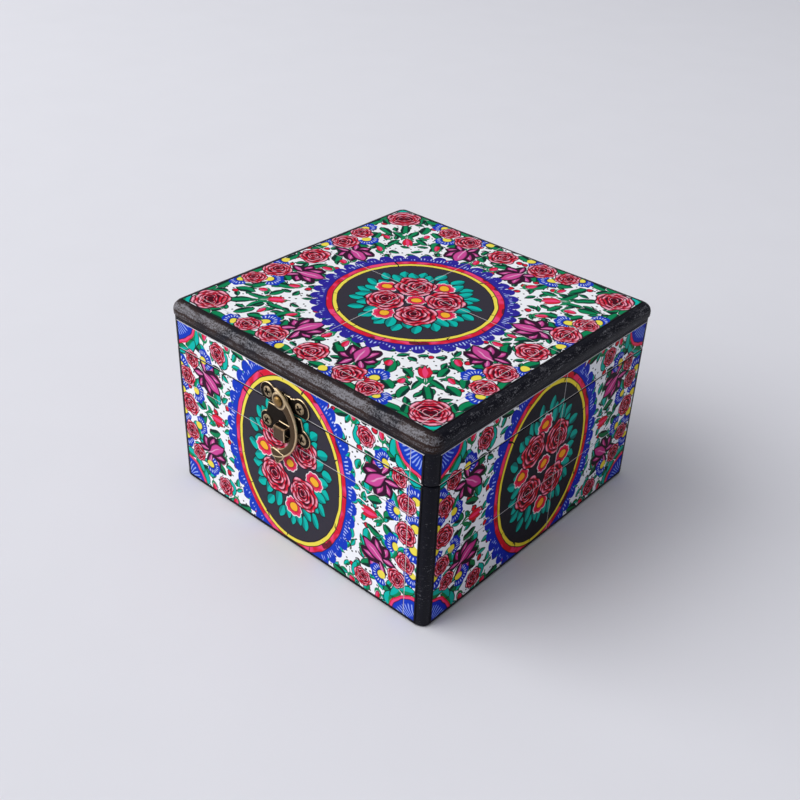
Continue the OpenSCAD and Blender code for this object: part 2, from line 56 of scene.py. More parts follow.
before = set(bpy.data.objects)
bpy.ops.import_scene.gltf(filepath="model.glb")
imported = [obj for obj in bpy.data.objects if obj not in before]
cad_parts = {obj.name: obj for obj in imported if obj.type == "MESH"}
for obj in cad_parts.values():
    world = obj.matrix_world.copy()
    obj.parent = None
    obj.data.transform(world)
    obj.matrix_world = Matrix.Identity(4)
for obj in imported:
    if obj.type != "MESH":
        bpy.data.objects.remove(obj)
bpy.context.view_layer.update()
MM = 0.001
TURN = 2 * math.pi
FRONT_FACE = -75.25  # y of the front paper's face, in millimetres
HEAD = (0, 0, 56)  # the middle of the jester's head, in millimetres


# ---------------------------------------------------------------- settings


def linear(red, green, blue):
    """Scene-linear colour of an sRGB colour given in 0 to 255."""
    c = np.array((red, green, blue)) / 255
    return tuple(np.where(c <= 0.04045, c / 12.92, ((c + 0.055) / 1.055) ** 2.4).tolist())


def colour_of(name, text, *rgb):
    return FloatVectorProperty(name=name, description=text, subtype="COLOR", size=3, min=0, max=1,
                               default=linear(*rgb))


def length_of(name, text, millimetres):
    return FloatProperty(name=name, description=text, unit="LENGTH", min=0,
                         default=millimetres * MM)


class CaseSettings(bpy.types.PropertyGroup):
    side: length_of("Side", "Width and depth of the case", 150)
    wall: length_of("Wall", "Thickness of the case walls", 8)
    height: length_of("Case height", "Height of the case below the lid", 70.1)
    lid_low: length_of("Lid foot", "Height at which the lid's rails start", 70.5)
    lid_board: length_of("Board foot", "Height at which the lid's board starts", 86)
    lid_top: length_of("Lid top", "Height of the bare board's top", 92.5)
    corner: length_of("Corner", "Radius of the upright corners", 4.5)
    board_corner: length_of("Board corner", "Radius of the board's corners", 5)
    board_side: length_of("Board side", "Width and depth of the lid's board", 151)
    board_roll: length_of("Board edge", "Radius of the board's upper edge", 4)
    paint: colour_of("Paint", "Black paint on the rims and corners", 17, 18, 28)
    # used for the dry-brushed silver and for the painted highlight on the front rim
    brushed: colour_of("Dry brush", "Silver dragged over the black rim", 150, 150, 157)
    wood_pale: colour_of("Pale wood", "Early wood of the bare boards", 214, 178, 132)
    wood_dark: colour_of("Dark wood", "Late wood of the bare boards", 172, 126, 80)


class PrintSettings(bpy.types.PropertyGroup):
    white: colour_of("White", "Ground of the paper", 243, 244, 248)
    slate: colour_of("Slate", "Field of the medallions", 54, 51, 61)
    blue: colour_of("Blue", "Scalloped border and fans of the sides", 18, 58, 190)
    violet: colour_of("Violet blue", "Scalloped border of the lid", 44, 36, 152)
    yellow: colour_of("Yellow", "Ring and flower hearts", 240, 222, 82)
    amber: colour_of("Amber", "Hearts of the bouquet's flowers", 246, 180, 48)
    pink: colour_of("Pink", "Light part of the band and petals", 238, 70, 124)
    red: colour_of("Red", "Dark part of the band and petals", 216, 28, 56)
    crimson: colour_of("Crimson", "Depth and outline of the roses", 70, 6, 26)
    blush: colour_of("Blush", "Highlight of the roses", 252, 172, 196)
    turquoise: colour_of("Turquoise", "Leaves round the bouquets", 4, 184, 172)
    green: colour_of("Green", "Leaves on the white ground", 6, 134, 84)
    forest: colour_of("Forest", "Shaded half of a leaf", 8, 50, 44)
    magenta: colour_of("Magenta", "Heart of the irises", 206, 74, 152)
    plum: colour_of("Plum", "Falls of the irises", 52, 16, 44)
    ring: length_of("Ring", "Radius of the yellow ring on the lid", 35.2)
    oval_width: length_of("Oval width", "Half width of the side medallion's ring", 30)
    oval_height: length_of("Oval height", "Half height of the side medallion's ring", 40)
    scallops: IntProperty(name="Scallops", description="Scallops round a medallion", default=42,
                          min=3)
    # painted shade: darkens the left and right prints
    side_depth: FloatProperty(name="Side depth", description="Gamma of the left and right prints",
                              default=1.35, min=0.5)


class LatchSettings(bpy.types.PropertyGroup):
    dark: colour_of("Dark bronze", "Blackened recesses of the plates", 38, 32, 27)
    bronze: colour_of("Bronze", "Brown face of the hook and catch", 94, 76, 58)
    worn: colour_of("Worn edge", "Pale brass where the dark finish has gone", 214, 190, 152)
    rivet: colour_of("Rivet", "Brass of the rivet", 140, 110, 66)
    brass: colour_of("Hinge brass", "Leaves and knuckles of the hinges", 150, 118, 70)
    steel: colour_of("Steel", "Spring wire and staples", 176, 178, 182)


class JackSettings(bpy.types.PropertyGroup):
    skin: colour_of("Face", "Paint of the face and hands", 238, 190, 156)
    cheek: colour_of("Cheeks", "Blush on the cheeks", 226, 110, 96)
    lips: colour_of("Lips", "Painted smile", 178, 30, 38)
    iris: colour_of("Eyes", "Painted irises", 40, 84, 140)
    scarlet: colour_of("Scarlet", "First cloth of the jester", 190, 26, 40)
    golden: colour_of("Golden", "Second cloth of the jester", 236, 186, 52)
    royal: colour_of("Royal blue", "Third cloth of the jester", 34, 58, 156)
    ivory: colour_of("Ivory", "Ruff and bell thread", 238, 230, 212)
    hair: colour_of("Hair", "Wool of the hair", 196, 92, 34)
    fill: FloatProperty(name="Stuffing", description="How tight the padding is", default=0.6,
                        min=0, max=1, subtype="FACTOR")


class StageSettings(bpy.types.PropertyGroup):
    floor: colour_of("Floor", "Paper that the box stands on", 229, 229, 235)
    backdrop: colour_of("Backdrop", "What lies beyond the floor", 212, 211, 217)
    key: FloatProperty(name="Key", description="Power of the large soft lamp, in watts",
                       default=214, min=0, unit="POWER")
    ceiling: FloatProperty(name="Ceiling", description="Power of the lamp above, in watts",
                           default=11, min=0, unit="POWER")
    fill: FloatProperty(name="Sky", description="Strength of the light from all round",
                        default=0.3, min=0)


SETTINGS = {
    "jackbox_case": CaseSettings,
    "jackbox_print": PrintSettings,
    "jackbox_latch": LatchSettings,
    "jackbox_toy": JackSettings,
    "jackbox_stage": StageSettings,
}


# ---------------------------------------------------------------- shader pen


def arithmetic(operation, swapped=False):
    """A method of Value that adds one Math node, with its terms in order or swapped."""

    def result(self, *other):
        terms = (*other, self) if swapped else (self, *other)
        return self.pen.calc(operation, *terms)

    return result


class Value:
    """What leaves one socket. Arithmetic on it adds Math nodes."""

    __add__ = __radd__ = arithmetic("ADD")
    __sub__, __rsub__ = arithmetic("SUBTRACT"), arithmetic("SUBTRACT", swapped=True)
    __mul__ = __rmul__ = arithmetic("MULTIPLY")
    __truediv__ = arithmetic("DIVIDE")
    __abs__ = arithmetic("ABSOLUTE")

    def __init__(self, pen, socket):
        self.pen = pen
        self.socket = socket


class Pen:
    """Writes nodes into a tree, in the order in which they are worked out."""

    def __init__(self, tree):
        self.tree = tree

    def put(self, socket, value):
        if isinstance(value, Value):
            self.tree.links.new(value.socket, socket)
        else:
            flat = socket.type == "RGBA" and len(value) == 3
            socket.default_value = (*value, 1) if flat else value

    def add(self, kind, inputs, out=0, **settings):
        node = self.tree.nodes.new("ShaderNode" + kind)
        for key, value in settings.items():
            setattr(node, key, value)
        for key, value in inputs.items() if isinstance(inputs, dict) else enumerate(inputs):
            self.put(node.inputs[key], value)
        return Value(self, node.outputs[out])

    def outputs(self, value):
        """Every output of the node that the value comes from."""
        return [Value(self, socket) for socket in value.socket.node.outputs]

    def calc(self, operation, *terms, clamp=False):
        return self.add("Math", terms, operation=operation, use_clamp=clamp)

    def most(self, *terms):
        return self.calc("MAXIMUM", *terms)

    def vector(self, operation, *terms, out=0):
        return self.add("VectorMath", terms, out, operation=operation)

    def scaled(self, vector, factor):
        return self.add("VectorMath", {"Vector": vector, "Scale": factor}, operation="SCALE")

    def length(self, vector):
        return self.vector("LENGTH", vector, out="Value")

    def parts(self, vector):
        return self.outputs(self.add("SeparateXYZ", [vector]))

    def join(self, x, y, z=0.0):
        return self.add("CombineXYZ", (x, y, z))

    def polar(self, vector):
        """The angle of a vector's first two parts, and its length."""
        x, y, _ = self.parts(vector)
        return self.calc("ARCTAN2", y, x), self.length(vector)

    def fade(self, value, low, high):
        """0 at low and 1 at high, straight between, and held beyond."""
        slope = 1 / (high - low)
        return self.calc("MULTIPLY_ADD", value, slope, -low * slope, clamp=True)

    def mix(self, under, over, amount):
        return self.add("Mix", {0: amount, 6: under, 7: over}, 2, data_type="RGBA")

    def layers(self, colour, *coats):
        """Coats (paint, value, low, high), each laid on where its value goes from low to high."""
        for paint, value, low, high in coats:
            colour = self.mix(colour, paint, self.fade(value, low, high))
        return colour

    def pick(self, under, over, amount):
        return self.add("Mix", {0: amount, 4: under, 5: over}, 1, data_type="VECTOR")

    def place(self, vector, at, turn=0.0, size=(1.0, 1.0)):
        """The vector as seen from a spot: moved there, turned by degrees, measured in its sizes."""
        return self.add("Mapping", {"Vector": vector, "Location": (*at, 0),
                                    "Rotation": (0, 0, math.radians(turn)), "Scale": (*size, 1)},
                        vector_type="TEXTURE")

    def oval(self, vector, at, size):
        """1 on the edge of an upright oval about a spot, less within it and more outside."""
        return self.length(self.place(vector, at, 0, size))

    def petal(self, vector, at, turn, size):
        """A petal's own coordinates (a, b), and how far the point is inside |b| < 1 - a squared."""
        a, b, _ = self.parts(self.place(vector, at, turn, size))
        return a, b, 1 - a * a - abs(b)

    def noise(self, vector, scale, detail=2.0, rough=0.5, out="Fac", stretch=None):
        if stretch:
            vector = self.vector("MULTIPLY", vector, stretch)
        return self.add("TexNoise", {"Vector": vector, "Scale": scale, "Detail": detail,
                                     "Roughness": rough}, out)

    def cells(self, vector, scale, randomness, out):
        return self.add("TexVoronoi", {"Vector": vector, "Scale": scale, "Randomness": randomness},
                        out, voronoi_dimensions="2D")

    def use(self, tree, *inputs):
        values = self.outputs(self.add("Group", inputs, node_tree=tree))
        return values if len(values) > 1 else values[0]

    def millimetres(self):
        return self.scaled(self.add("TexCoord", {}, "Object"), 1 / MM)


Place, Colour, Number = "NodeSocketVector", "NodeSocketColor", "NodeSocketFloat"
MOTIF = {"Color": Colour, "Mask": Number}


def effect(outputs):
    """Makes the decorated drawing a node group, once: it takes the drawing's name and arguments,
    whose annotations are the kinds of its input sockets."""

    def wrap(draw):
        def title(word):
            return word.replace("_", " ").title()

        def tree():
            name = title(draw.__name__)
            made = bpy.data.node_groups.get(name)
            if made:
                return made
            made = bpy.data.node_groups.new(name, "ShaderNodeTree")
            inputs = {title(label): kind for label, kind in draw.__annotations__.items()}
            for way, sockets in (("INPUT", inputs), ("OUTPUT", outputs)):
                for label, kind in sockets.items():
                    made.interface.new_socket(label, in_out=way, socket_type=kind)
            pen = Pen(made)
            enter = made.nodes.new("NodeGroupInput")
            drawn = draw(pen, *(Value(pen, enter.outputs[label]) for label in inputs))
            leave = made.nodes.new("NodeGroupOutput")
            for label, value in zip(outputs, drawn):
                pen.put(leave.inputs[label], value)
            return made

        return tree

    return wrap


@effect(MOTIF)
def rose(pen, place: Place, crimson: Colour, red: Colour, blush: Colour):
    """Heads of petals, one in another. A point is in a head of size R and N petals where its
    distance from the head's centre is under R(0.87 + 0.13|cos(N angle / 2 + turn)|). Towards the
    rim of a petal it turns from crimson to red, with dabs of blush, and the rim is dark again."""
    heads = ((1.0, 6, 0.0, 0.0, 0.4), (0.8, 5, 0.05, -0.06, 1.3), (0.6, 5, 0.0, -0.14, 0.2),
             (0.42, 4, 0.06, -0.16, 1.0), (0.24, 3, 0.02, -0.13, 0.5))
    ink = (0.018, 0.004, 0.014)
    dab = pen.noise(place, 2.4, 2)
    colour, mask = red, 0.0
    for k, (size, petals, east, north, turn) in enumerate(heads):
        angle, far = pen.polar(pen.vector("SUBTRACT", place, (east, north, 0)))
        lobe = abs(pen.calc("COSINE", angle * (petals / 2) + turn))
        reach = far / (lobe * (0.13 * size) + 0.87 * size)
        light = pen.fade(reach, 0.74, 0.86) * pen.fade(lobe, 0.45, 0.85)
        petal = pen.mix(red, blush, light * pen.fade(dab, 0.36, 0.48))
        petal = pen.layers(petal, (crimson, reach, 0.84, 0.7),
                           (crimson if k else ink, reach, 0.9, 0.95))
        inside = pen.fade(reach, 1.02, 0.98)
        colour = pen.mix(colour, petal, inside) if k else petal
        mask = mask if k else inside
    return colour, mask


@effect(MOTIF)
def small_flower(pen, place: Place, red: Colour, pink: Colour, heart: Colour):
    """Nine petals, edge at 0.86 + 0.14|cos(9 angle / 2)|, round a heart of radius 0.42."""
    angle, far = pen.polar(place)
    lobe = abs(pen.calc("COSINE", angle * 4.5))
    reach = far / (lobe * 0.14 + 0.86)
    colour = pen.mix(red, pink, lobe * pen.fade(reach, 0.5, 0.8))
    colour = pen.layers(colour, ((0.85, 0.78, 0.8), reach, 0.87, 0.92),
                        ((0.12, 0.01, 0.03), far, 0.5, 0.44), (heart, far, 0.44, 0.4))
    return colour, pen.fade(reach, 1.02, 0.98)


@effect(MOTIF)
def leaf(pen, place: Place, light: Colour, shade: Colour):
    """A blade held where |v| < 1 - |u| to the 2.6; one half is light, one shaded, and the midrib
    is light again."""
    u, v, _ = pen.parts(place)
    inset = 1 - pen.calc("POWER", abs(u), 2.6) - abs(v)
    colour = pen.layers(shade, (light, v, -0.3, -0.1), (light, abs(v), 0.1, 0.05),
                        ((0.004, 0.02, 0.018), inset, 0.26, 0.14))
    return colour, pen.fade(inset, -0.05, 0.04)


@effect(MOTIF)
def bud(pen, place: Place, red: Colour, pink: Colour, cup: Colour):
    """An oval head of half sizes 0.62 and 0.5, in a crescent cup between two ovals, on a stem."""
    u, v, _ = pen.parts(place)
    head = pen.oval(place, (0.3, 0), (0.62, 0.5))
    crescent = pen.fade(pen.oval(place, (-0.02, 0), (0.6, 0.72)), 1.04, 0.96)
    crescent = crescent * pen.fade(pen.oval(place, (0.32, 0), (0.66, 0.62)), 0.94, 1.02)
    stem = pen.fade(abs(v), 0.11, 0.07) * pen.fade(u, -0.4, -0.46)
    petal = pen.layers(red, (pink, v, -0.1, 0.1), ((0.1, 0.01, 0.03), head, 0.76, 0.9))
    inside = pen.fade(head, 1.03, 0.97)
    return pen.mix(cup, petal, inside), pen.most(pen.most(crescent, stem), inside)


@effect(MOTIF)
def tulip(pen, place: Place, red: Colour, pink: Colour, green: Colour):
    """Folded about its stem: a leaf at 36 degrees, a side petal leaning 16, a middle petal."""
    u, v, _ = pen.parts(place)
    half = pen.join(u, abs(v))
    colour, mask = green, pen.fade(abs(v), 0.07, 0.04) * pen.fade(u, -0.1, -0.14)
    petals = (((-0.48, 0.34), 36, (0.5, 0.17), green, (0.004, 0.07, 0.04)),
              ((0.22, 0.24), 16, (0.56, 0.26), red, (0.1, 0.01, 0.03)),
              ((0.26, 0.0), 0, (0.62, 0.22), pink, red))
    for at, turn, size, paint, edge in petals:
        _, _, inset = pen.petal(half, at, turn, size)
        inside = pen.fade(inset, -0.05, 0.04)
        colour = pen.mix(colour, pen.mix(edge, paint, pen.fade(inset, 0.1, 0.26)), inside)
        mask = pen.most(mask, inside)
    return colour, mask


@effect(MOTIF)
def iris(pen, place: Place, plum: Colour, magenta: Colour, green: Colour):
    """Folded about its stem: two falls, a standard to the side and one upright standard."""
    u, v, _ = pen.parts(place)
    half = pen.join(u, abs(v))
    colour, mask = green, pen.fade(abs(v), 0.06, 0.03) * pen.fade(u, -0.2, -0.24)
    petals = (((-0.42, 0.34), 146, (0.52, 0.24), 0.5), ((-0.08, 0.56), 84, (0.46, 0.3), 0.46),
              ((0.26, 0.4), 38, (0.64, 0.38), 0.54), ((0.3, 0.0), 0, (0.7, 0.42), 0.22))
    for at, turn, size, dark in petals:
        a, b, inset = pen.petal(half, at, turn, size)
        petal = pen.mix(plum, magenta, pen.fade(inset, dark, dark + 0.16))
        vein = pen.fade(abs(b), 0.12, 0.04) * pen.fade(a, 0.5, 0.2)
        petal = pen.mix(petal, (0.78, 0.36, 0.58), vein)
        petal = pen.mix((0.012, 0.004, 0.012), petal, pen.fade(inset, 0.04, 0.12))
        inside = pen.fade(inset, -0.05, 0.04)
        colour = pen.mix(colour, petal, inside)
        mask = pen.most(mask, inside)
    return colour, mask


@effect(MOTIF)
def fan_flower(pen, place: Place, blue: Colour, yellow: Colour):
    """A yellow heart at (-0.4, 0) and a blue fan round it, with pale rays and a scalloped rim."""
    here = pen.vector("SUBTRACT", place, (-0.4, 0, 0))
    angle, far = pen.polar(here)
    rim = abs(pen.calc("COSINE", angle * 5)) * 0.14 + 1.1
    rays = pen.fade(pen.calc("COSINE", angle * 20), 0.2, 0.7)
    rays = rays * pen.fade(far, 0.6, 0.68) * pen.fade(far, 0.96, 0.88)
    colour = pen.layers(pen.mix(blue, (0.6, 0.68, 0.9), rays),
                        ((0.02, 0.02, 0.05), far, 0.5, 0.44), (yellow, far, 0.4, 0.36))
    fan = pen.fade(far - rim, 0.03, -0.03) * pen.fade(pen.parts(here)[0], -0.06, 0.0)
    return colour, pen.most(fan, pen.fade(far, 0.4, 0.36))


@effect({"Color": Colour})
def small_growth(pen, point: Place, white: Colour, green: Colour, forest: Colour, red: Colour):
    """White ground with one sprig to a cell of a Voronoi pattern, turned by the cell's own
    colour: a leaf |v| < 1 - u squared, a red berry or a black curl, and loose dots between."""
    cells = pen.cells(point, 0.168, 0.75, "Color")
    hue, way, _ = pen.parts(cells)
    off = pen.vector("SUBTRACT", point, Value(pen, cells.socket.node.outputs["Position"]))
    here = pen.add("VectorRotate", {"Vector": off, "Angle": hue * TURN}, rotation_type="Z_AXIS")
    u, v, _ = pen.parts(pen.vector("MULTIPLY", here, (0.34, 0.72, 0)))
    inset = 1 - u * u - abs(v)
    blade = pen.mix((0.004, 0.014, 0.014), forest, pen.fade(inset, 0.1, 0.25))
    blade = pen.mix(blade, green, pen.fade(v, -0.15, 0.05) * pen.fade(inset, 0.25, 0.35))
    colour = pen.mix(white, blade, pen.fade(inset, -0.1, 0.05))
    far = pen.length(here)
    berry = pen.fade(way, 0.78, 0.79)
    fruit = pen.mix((0.02, 0.004, 0.012), red, pen.fade(far, 1.3, 1.0))
    colour = pen.mix(colour, white, berry)
    colour = pen.mix(colour, fruit, berry * pen.fade(far, 1.7, 1.5))
    curl = pen.fade(abs(far - 2.2), 0.45, 0.28) * pen.fade(pen.parts(here)[0], 0.2, 0.8)
    colour = pen.mix(colour, (0.008, 0.012, 0.012), curl * pen.fade(way, 0.34, 0.33))
    dots = pen.cells(point, 0.26, 0.9, "Distance")
    return (pen.mix(colour, (0.01, 0.014, 0.016), pen.fade(dots, 0.13, 0.1)),)


@effect(MOTIF)
def medallion(pen, point: Place, slate: Colour, blue: Colour, yellow: Colour, pink: Colour,
              red: Colour, leaf_paint: Colour, scallops: Number):
    """Rings about the centre. Blue reaches to 42.5 and into N discs of radius 2.95 about points
    on the circle of 42.9; a red and pink band starts at 36.4, yellow at 34.3, and on the slate
    within, leaves of two lengths repeat round the bouquet."""
    angle, far = pen.polar(point)
    turn = angle * (scallops / TURN)
    step = pen.calc("FRACT", turn) - 0.5
    disc = pen.length(pen.join(far - 42.9, step * far * TURN / scallops))
    border = pen.calc("MINIMUM", disc - 2.95, far - 42.5)
    comb = abs(pen.calc("FRACT", turn * 4) - 0.5)
    shine = pen.fade(comb, 0.24, 0.14) * pen.fade(abs(far - 41.6), 1.5, 1.0)
    fleck = pen.noise(point, 0.3, 1)
    colour = pen.mix(blue, (0.45, 0.55, 0.93), shine * pen.fade(fleck, 0.5, 0.56))
    stroke = pen.noise(point, 0.11, 1)
    band = pen.mix(pink, red, pen.fade(stroke, 0.44, 0.52))
    dash = pen.fade(pen.noise(point, 0.16, 0), 0.35, 0.31)
    band = pen.mix(band, (0.16, 0.012, 0.03), dash)
    ink, ticks = (0.02, 0.012, 0.02), 15
    tick = abs(pen.calc("FRACT", angle * (ticks / TURN) + stroke) - 0.5) * far * (TURN / ticks)
    tick = pen.fade(tick, 0.32, 0.2) * pen.fade(fleck, 0.48, 0.52)
    colour = pen.layers(colour, (ink, far, 39.3, 39.0), (pen.mix(band, ink, tick), far, 38.9, 38.7),
                        (ink, far, 36.5, 36.3), (pen.mix(yellow, ink, tick), far, 36.1, 35.9),
                        (ink, far, 34.5, 34.3), (slate, far, 34.0, 33.8))
    leaves = 19
    for middle, reach, width, shift, tilt in ((25.6, 3.7, 2.7, 0.0, 0.3),
                                              (21.8, 4.6, 2.9, 0.5, -0.3)):
        step = pen.calc("FRACT", angle * (leaves / TURN) + shift) - 0.5
        radial = (far - middle - pen.calc("SINE", angle * 5 + shift * 4)) / reach
        across = step * far * (TURN / leaves / width)
        placed = pen.join(radial, across + radial * tilt)
        blade, mask = pen.use(leaf(), placed, leaf_paint, (0.002, 0.24, 0.23))
        colour = pen.mix(colour, blade, mask)
    return colour, pen.fade(border, 0.12, -0.12)


@effect({"Color": Colour, "Height": Number})
def wood_grain(pen, point: Place, pale: Colour, dark: Colour):
    """A trunk's rings met by a flat cut: bands of a noise drawn out along the grain, and pores."""
    slow = pen.noise(point, 0.05, 2, stretch=(0.18, 1, 1))
    rings = abs(pen.calc("SINE", slow * 46))
    fibre = pen.noise(point, 1.3, 3, 0.6, stretch=(0.05, 1, 1))
    pores = pen.fade(pen.noise(point, 2.2, 1, stretch=(0.07, 1, 1)), 0.66, 0.72)
    tone = rings * 0.36 + fibre * 0.5 + 0.06
    colour = pen.mix(pale, dark, tone)
    colour = pen.mix(colour, (0.1, 0.05, 0.02), pores * 0.5)
    return colour, fibre * 0.7 - pores * 0.4


@effect({"Mask": Number, "Height": Number})
def dragged_paint(pen, point: Place, amount: Number):
    """Specks and streaks where a nearly dry brush was dragged: a fine noise and one drawn out
    along the rim, over a level that falls as the amount rises."""
    speck = pen.noise(point, 1.5, 3, 0.8)
    streak = pen.noise(point, 0.8, 2, 0.6, stretch=(0.3, 0.3, 1.8))
    level = speck * 0.62 + streak * 0.38 + amount
    return pen.fade(level, 0.74, 0.9), speck


@effect({"Height": Number, "Shade": Number})
def weave(pen, thread: Place, pitch: Number):
    """Plain weave: warp and weft are |sin| ribs, and each rises where the other dips. Shade is the
    height again, for painted shade in the dips.
    """
    u, v, _ = pen.parts(pen.scaled(thread, math.pi))
    u, v = u / pitch, v / pitch
    warp, weft = abs(pen.calc("SINE", u)), abs(pen.calc("SINE", v))
    over = pen.fade(pen.calc("SINE", u * 0.5 + 0.8) * pen.calc("SINE", v * 0.5 + 0.8), -0.1, 0.1)
    height = warp * over + weft * (1 - over)
    return height, pen.fade(height, 0.0, 0.9)


@effect({"Height": Number, "Shade": Number})
def felted_fibre(pen, point: Place):
    """Matted wool: two noises of fine threads, crossed, and a slow unevenness. Shade follows the
    threads' height and the unevenness, and darkens the felt partly as painted shade in the low
    fibres, partly as uneven tone.
    """
    one = pen.noise(point, 2.6, 3, 0.7, stretch=(1, 0.35, 0.6))
    two = pen.noise(point, 3.1, 3, 0.7, stretch=(0.4, 1, 0.5))
    slow = pen.noise(point, 0.25, 2)
    return one * 0.5 + two * 0.5, one * 0.4 + two * 0.3 + slow * 0.3


@effect({"Color": Colour, "Roughness": Number, "Height": Number})
def aged_metal(pen, point: Place, dark: Colour, bare: Colour, wear: Number):
    """Darkened metal rubbed bare: the bare metal shows where a blotchy noise plus the wear passes
    a level, and the dark parts are rougher."""
    blotch = pen.noise(point, 0.55, 4, 0.65)
    grit = pen.noise(point, 3.0, 3, 0.7)
    rubbed = pen.fade(blotch * 0.6 + grit * 0.25 + wear, 0.62, 0.95)
    colour = pen.mix(dark, bare, rubbed)
    return colour, 0.62 - rubbed * 0.3 + grit * 0.1, grit * 0.5 + blotch * 0.5


# ---------------------------------------------------------------- the printed paper

# Spots of the lid's print in the eighth between an axis and a diagonal: millimetres from the
# centre, turn in degrees, half length, and half width where it differs. The print is folded
# eight times over.
LID_SPOTS = {
    "leaf": ((54.2, 6.4, 60, 5.0, 2.4), (68.6, 8.8, 100, 4.8, 2.3), (56.4, 23.8, 152, 5.0, 2.4),
             (49.2, 30.4, 20, 5.0, 2.3), (58.4, 37.4, 66, 4.6, 2.2), (59.0, 45.4, 200, 4.8, 2.4),
             (69.6, 49.4, 96, 5.0, 2.5), (54.0, 53.0, 45, 5.6, 1.8), (70.2, 28.6, 84, 4.8, 2.3),
             (51.0, 46.0, 12, 5.4, 1.7), (66.4, 54.2, 30, 4.2, 2.2), (58.6, 13.2, 20, 4.0, 2.0),
             (47.4, 37.6, 80, 4.2, 1.9), (71.0, 56.8, 80, 4.0, 2.2)),
    "water_leaf": ((69.8, 69.4, 130, 4.4, 2.6), (70.0, 38.4, 80, 3.6, 2.2),
                   (57.2, 62.0, 60, 3.8, 2.2)),
    "bud": ((47.8, 4.8, 8, 4.4, 3.2), (46.0, 27.2, 30, 4.6, 3.2), (52.6, 39.6, 20, 4.2, 3.0)),
    "tulip": ((43.8, 43.8, 225, 7.6, 5.8),),
    "iris": ((52.4, 16.2, 198, 10.8, 9.2),),
    "fan": ((69.4, 14.4, 70, 5.2), (57.2, 30.4, 205, 5.4), (68.6, 42.6, 80, 5.2)),
    "rose": ((62.6, 0.0, 0, 7.8), (64.0, 22.0, 40, 7.4), (65.6, 35.0, 100, 6.2),
             (62.4, 62.4, 45, 9.2)),
}
# Spots of the side's print in the quarter right of and above the medallion's centre.
SIDE_SPOTS = {
    "leaf": ((57.0, 5.0, 40, 4.8, 2.3), (46.2, 26.0, 150, 4.8, 2.2), (57.2, 33.2, 20, 5.0, 2.4),
             (67.4, 20.4, 85, 5.0, 2.4), (30.0, 40.0, 20, 4.6, 2.1), (48.4, 8.0, 15, 4.2, 2.0)),
    "water_leaf": ((58.6, 12.8, 110, 4.6, 2.4), (45.0, 13.4, 84, 4.6, 2.4),
                   (38.6, 33.4, 100, 4.8, 2.4), (52.2, 31.6, 60, 4.4, 2.2),
                   (23.0, 44.0, 60, 4.0, 2.0), (54.6, 43.6, 120, 4.6, 2.6),
                   (57.4, 37.0, 100, 4.6, 2.6), (61.2, 31.6, 130, 4.6, 2.6),
                   (67.2, 27.6, 160, 4.6, 2.6)),
    "bud": ((43.2, 20.4, 60, 4.4, 3.1), (51.4, 38.8, 100, 4.2, 3.0), (36.6, 40.0, 70, 4.2, 3.0)),
    "tulip": ((47.6, 0.0, 180, 7.2, 5.4),),
    "iris": ((51.2, 19.6, 216, 10.4, 8.6),),
    "fan": ((51.6, 28.6, 150, 5.0), (70.2, 7.4, 70, 5.6), (58.0, 8.4, 200, 4.8),
            (69.6, 20.4, 80, 5.2)),
    "rose": ((64.8, 0.0, 0, 5.8), (65.0, 14.6, 60, 5.2), (43.0, 35.0, 20, 5.2),
             (61.0, 25.2, 90, 4.8)),
}
# The bouquets: small flowers and roses in the medallion, in millimetres from its centre.
ROUND_BOUQUET = {
    "flower": ((1.6, 17.6, 10, 5.4), (17.8, -0.8, 60, 5.2), (-2.2, -17.8, 0, 5.4),
               (-17.6, 1.4, 30, 5.2), (0.2, 0.4, 20, 4.8)),
    "rose": ((10.0, 8.6, 30, 9.9), (-8.6, 9.8, 110, 9.9), (9.0, -10.0, 250, 9.9),
             (-9.8, -9.0, 200, 9.6)),
}
OVAL_BOUQUET = {
    "flower": ((-1.8, 21.4, 10, 5.4), (-15.2, 1.6, 60, 5.0), (15.0, -2.0, 0, 5.0),
               (2.0, -21.4, 30, 5.4), (0.4, 0.6, 20, 4.6)),
    "rose": ((8.6, 10.8, 30, 9.2), (-8.6, 11.4, 110, 8.8), (8.6, -11.8, 250, 8.8),
             (-8.8, -10.6, 200, 9.4)),
}


def spotted(pen, point, spots):
    """The point as seen from the last spot whose oval holds it, or far off where none does."""
    local = (5.0, 5.0, 0.0)
    for x, y, turn, *size in spots:
        here = pen.place(point, (x, y), turn, (size[0], size[-1]))
        local = pen.pick(local, here, pen.calc("LESS_THAN", pen.length(here), 1.0))
    return local


def print_motifs(pen, point, spots, colours, colour):
    """Paints each kind of motif over the colour so far, wherever the spots put it."""
    drawings = {
        "leaf": (leaf, "green forest"), "water_leaf": (leaf, "turquoise green"),
        "bud": (bud, "red pink green"), "tulip": (tulip, "red pink green"),
        "iris": (iris, "plum magenta green"), "fan": (fan_flower, "blue yellow"),
        "flower": (small_flower, "red pink amber"), "rose": (rose, "crimson red blush"),
    }
    for kind, places in spots.items():
        drawing, paints = drawings[kind]
        over, mask = pen.use(drawing(), spotted(pen, point, places),
                             *(getattr(colours, name) for name in paints.split()))
        colour = pen.mix(colour, over, mask)
    return colour


def lines(pen, values, width):
    """1 on thin lines where any of the values is nought."""
    first, *others = (pen.fade(abs(value), width, width * 0.5) for value in values)
    return reduce(pen.most, others, first)


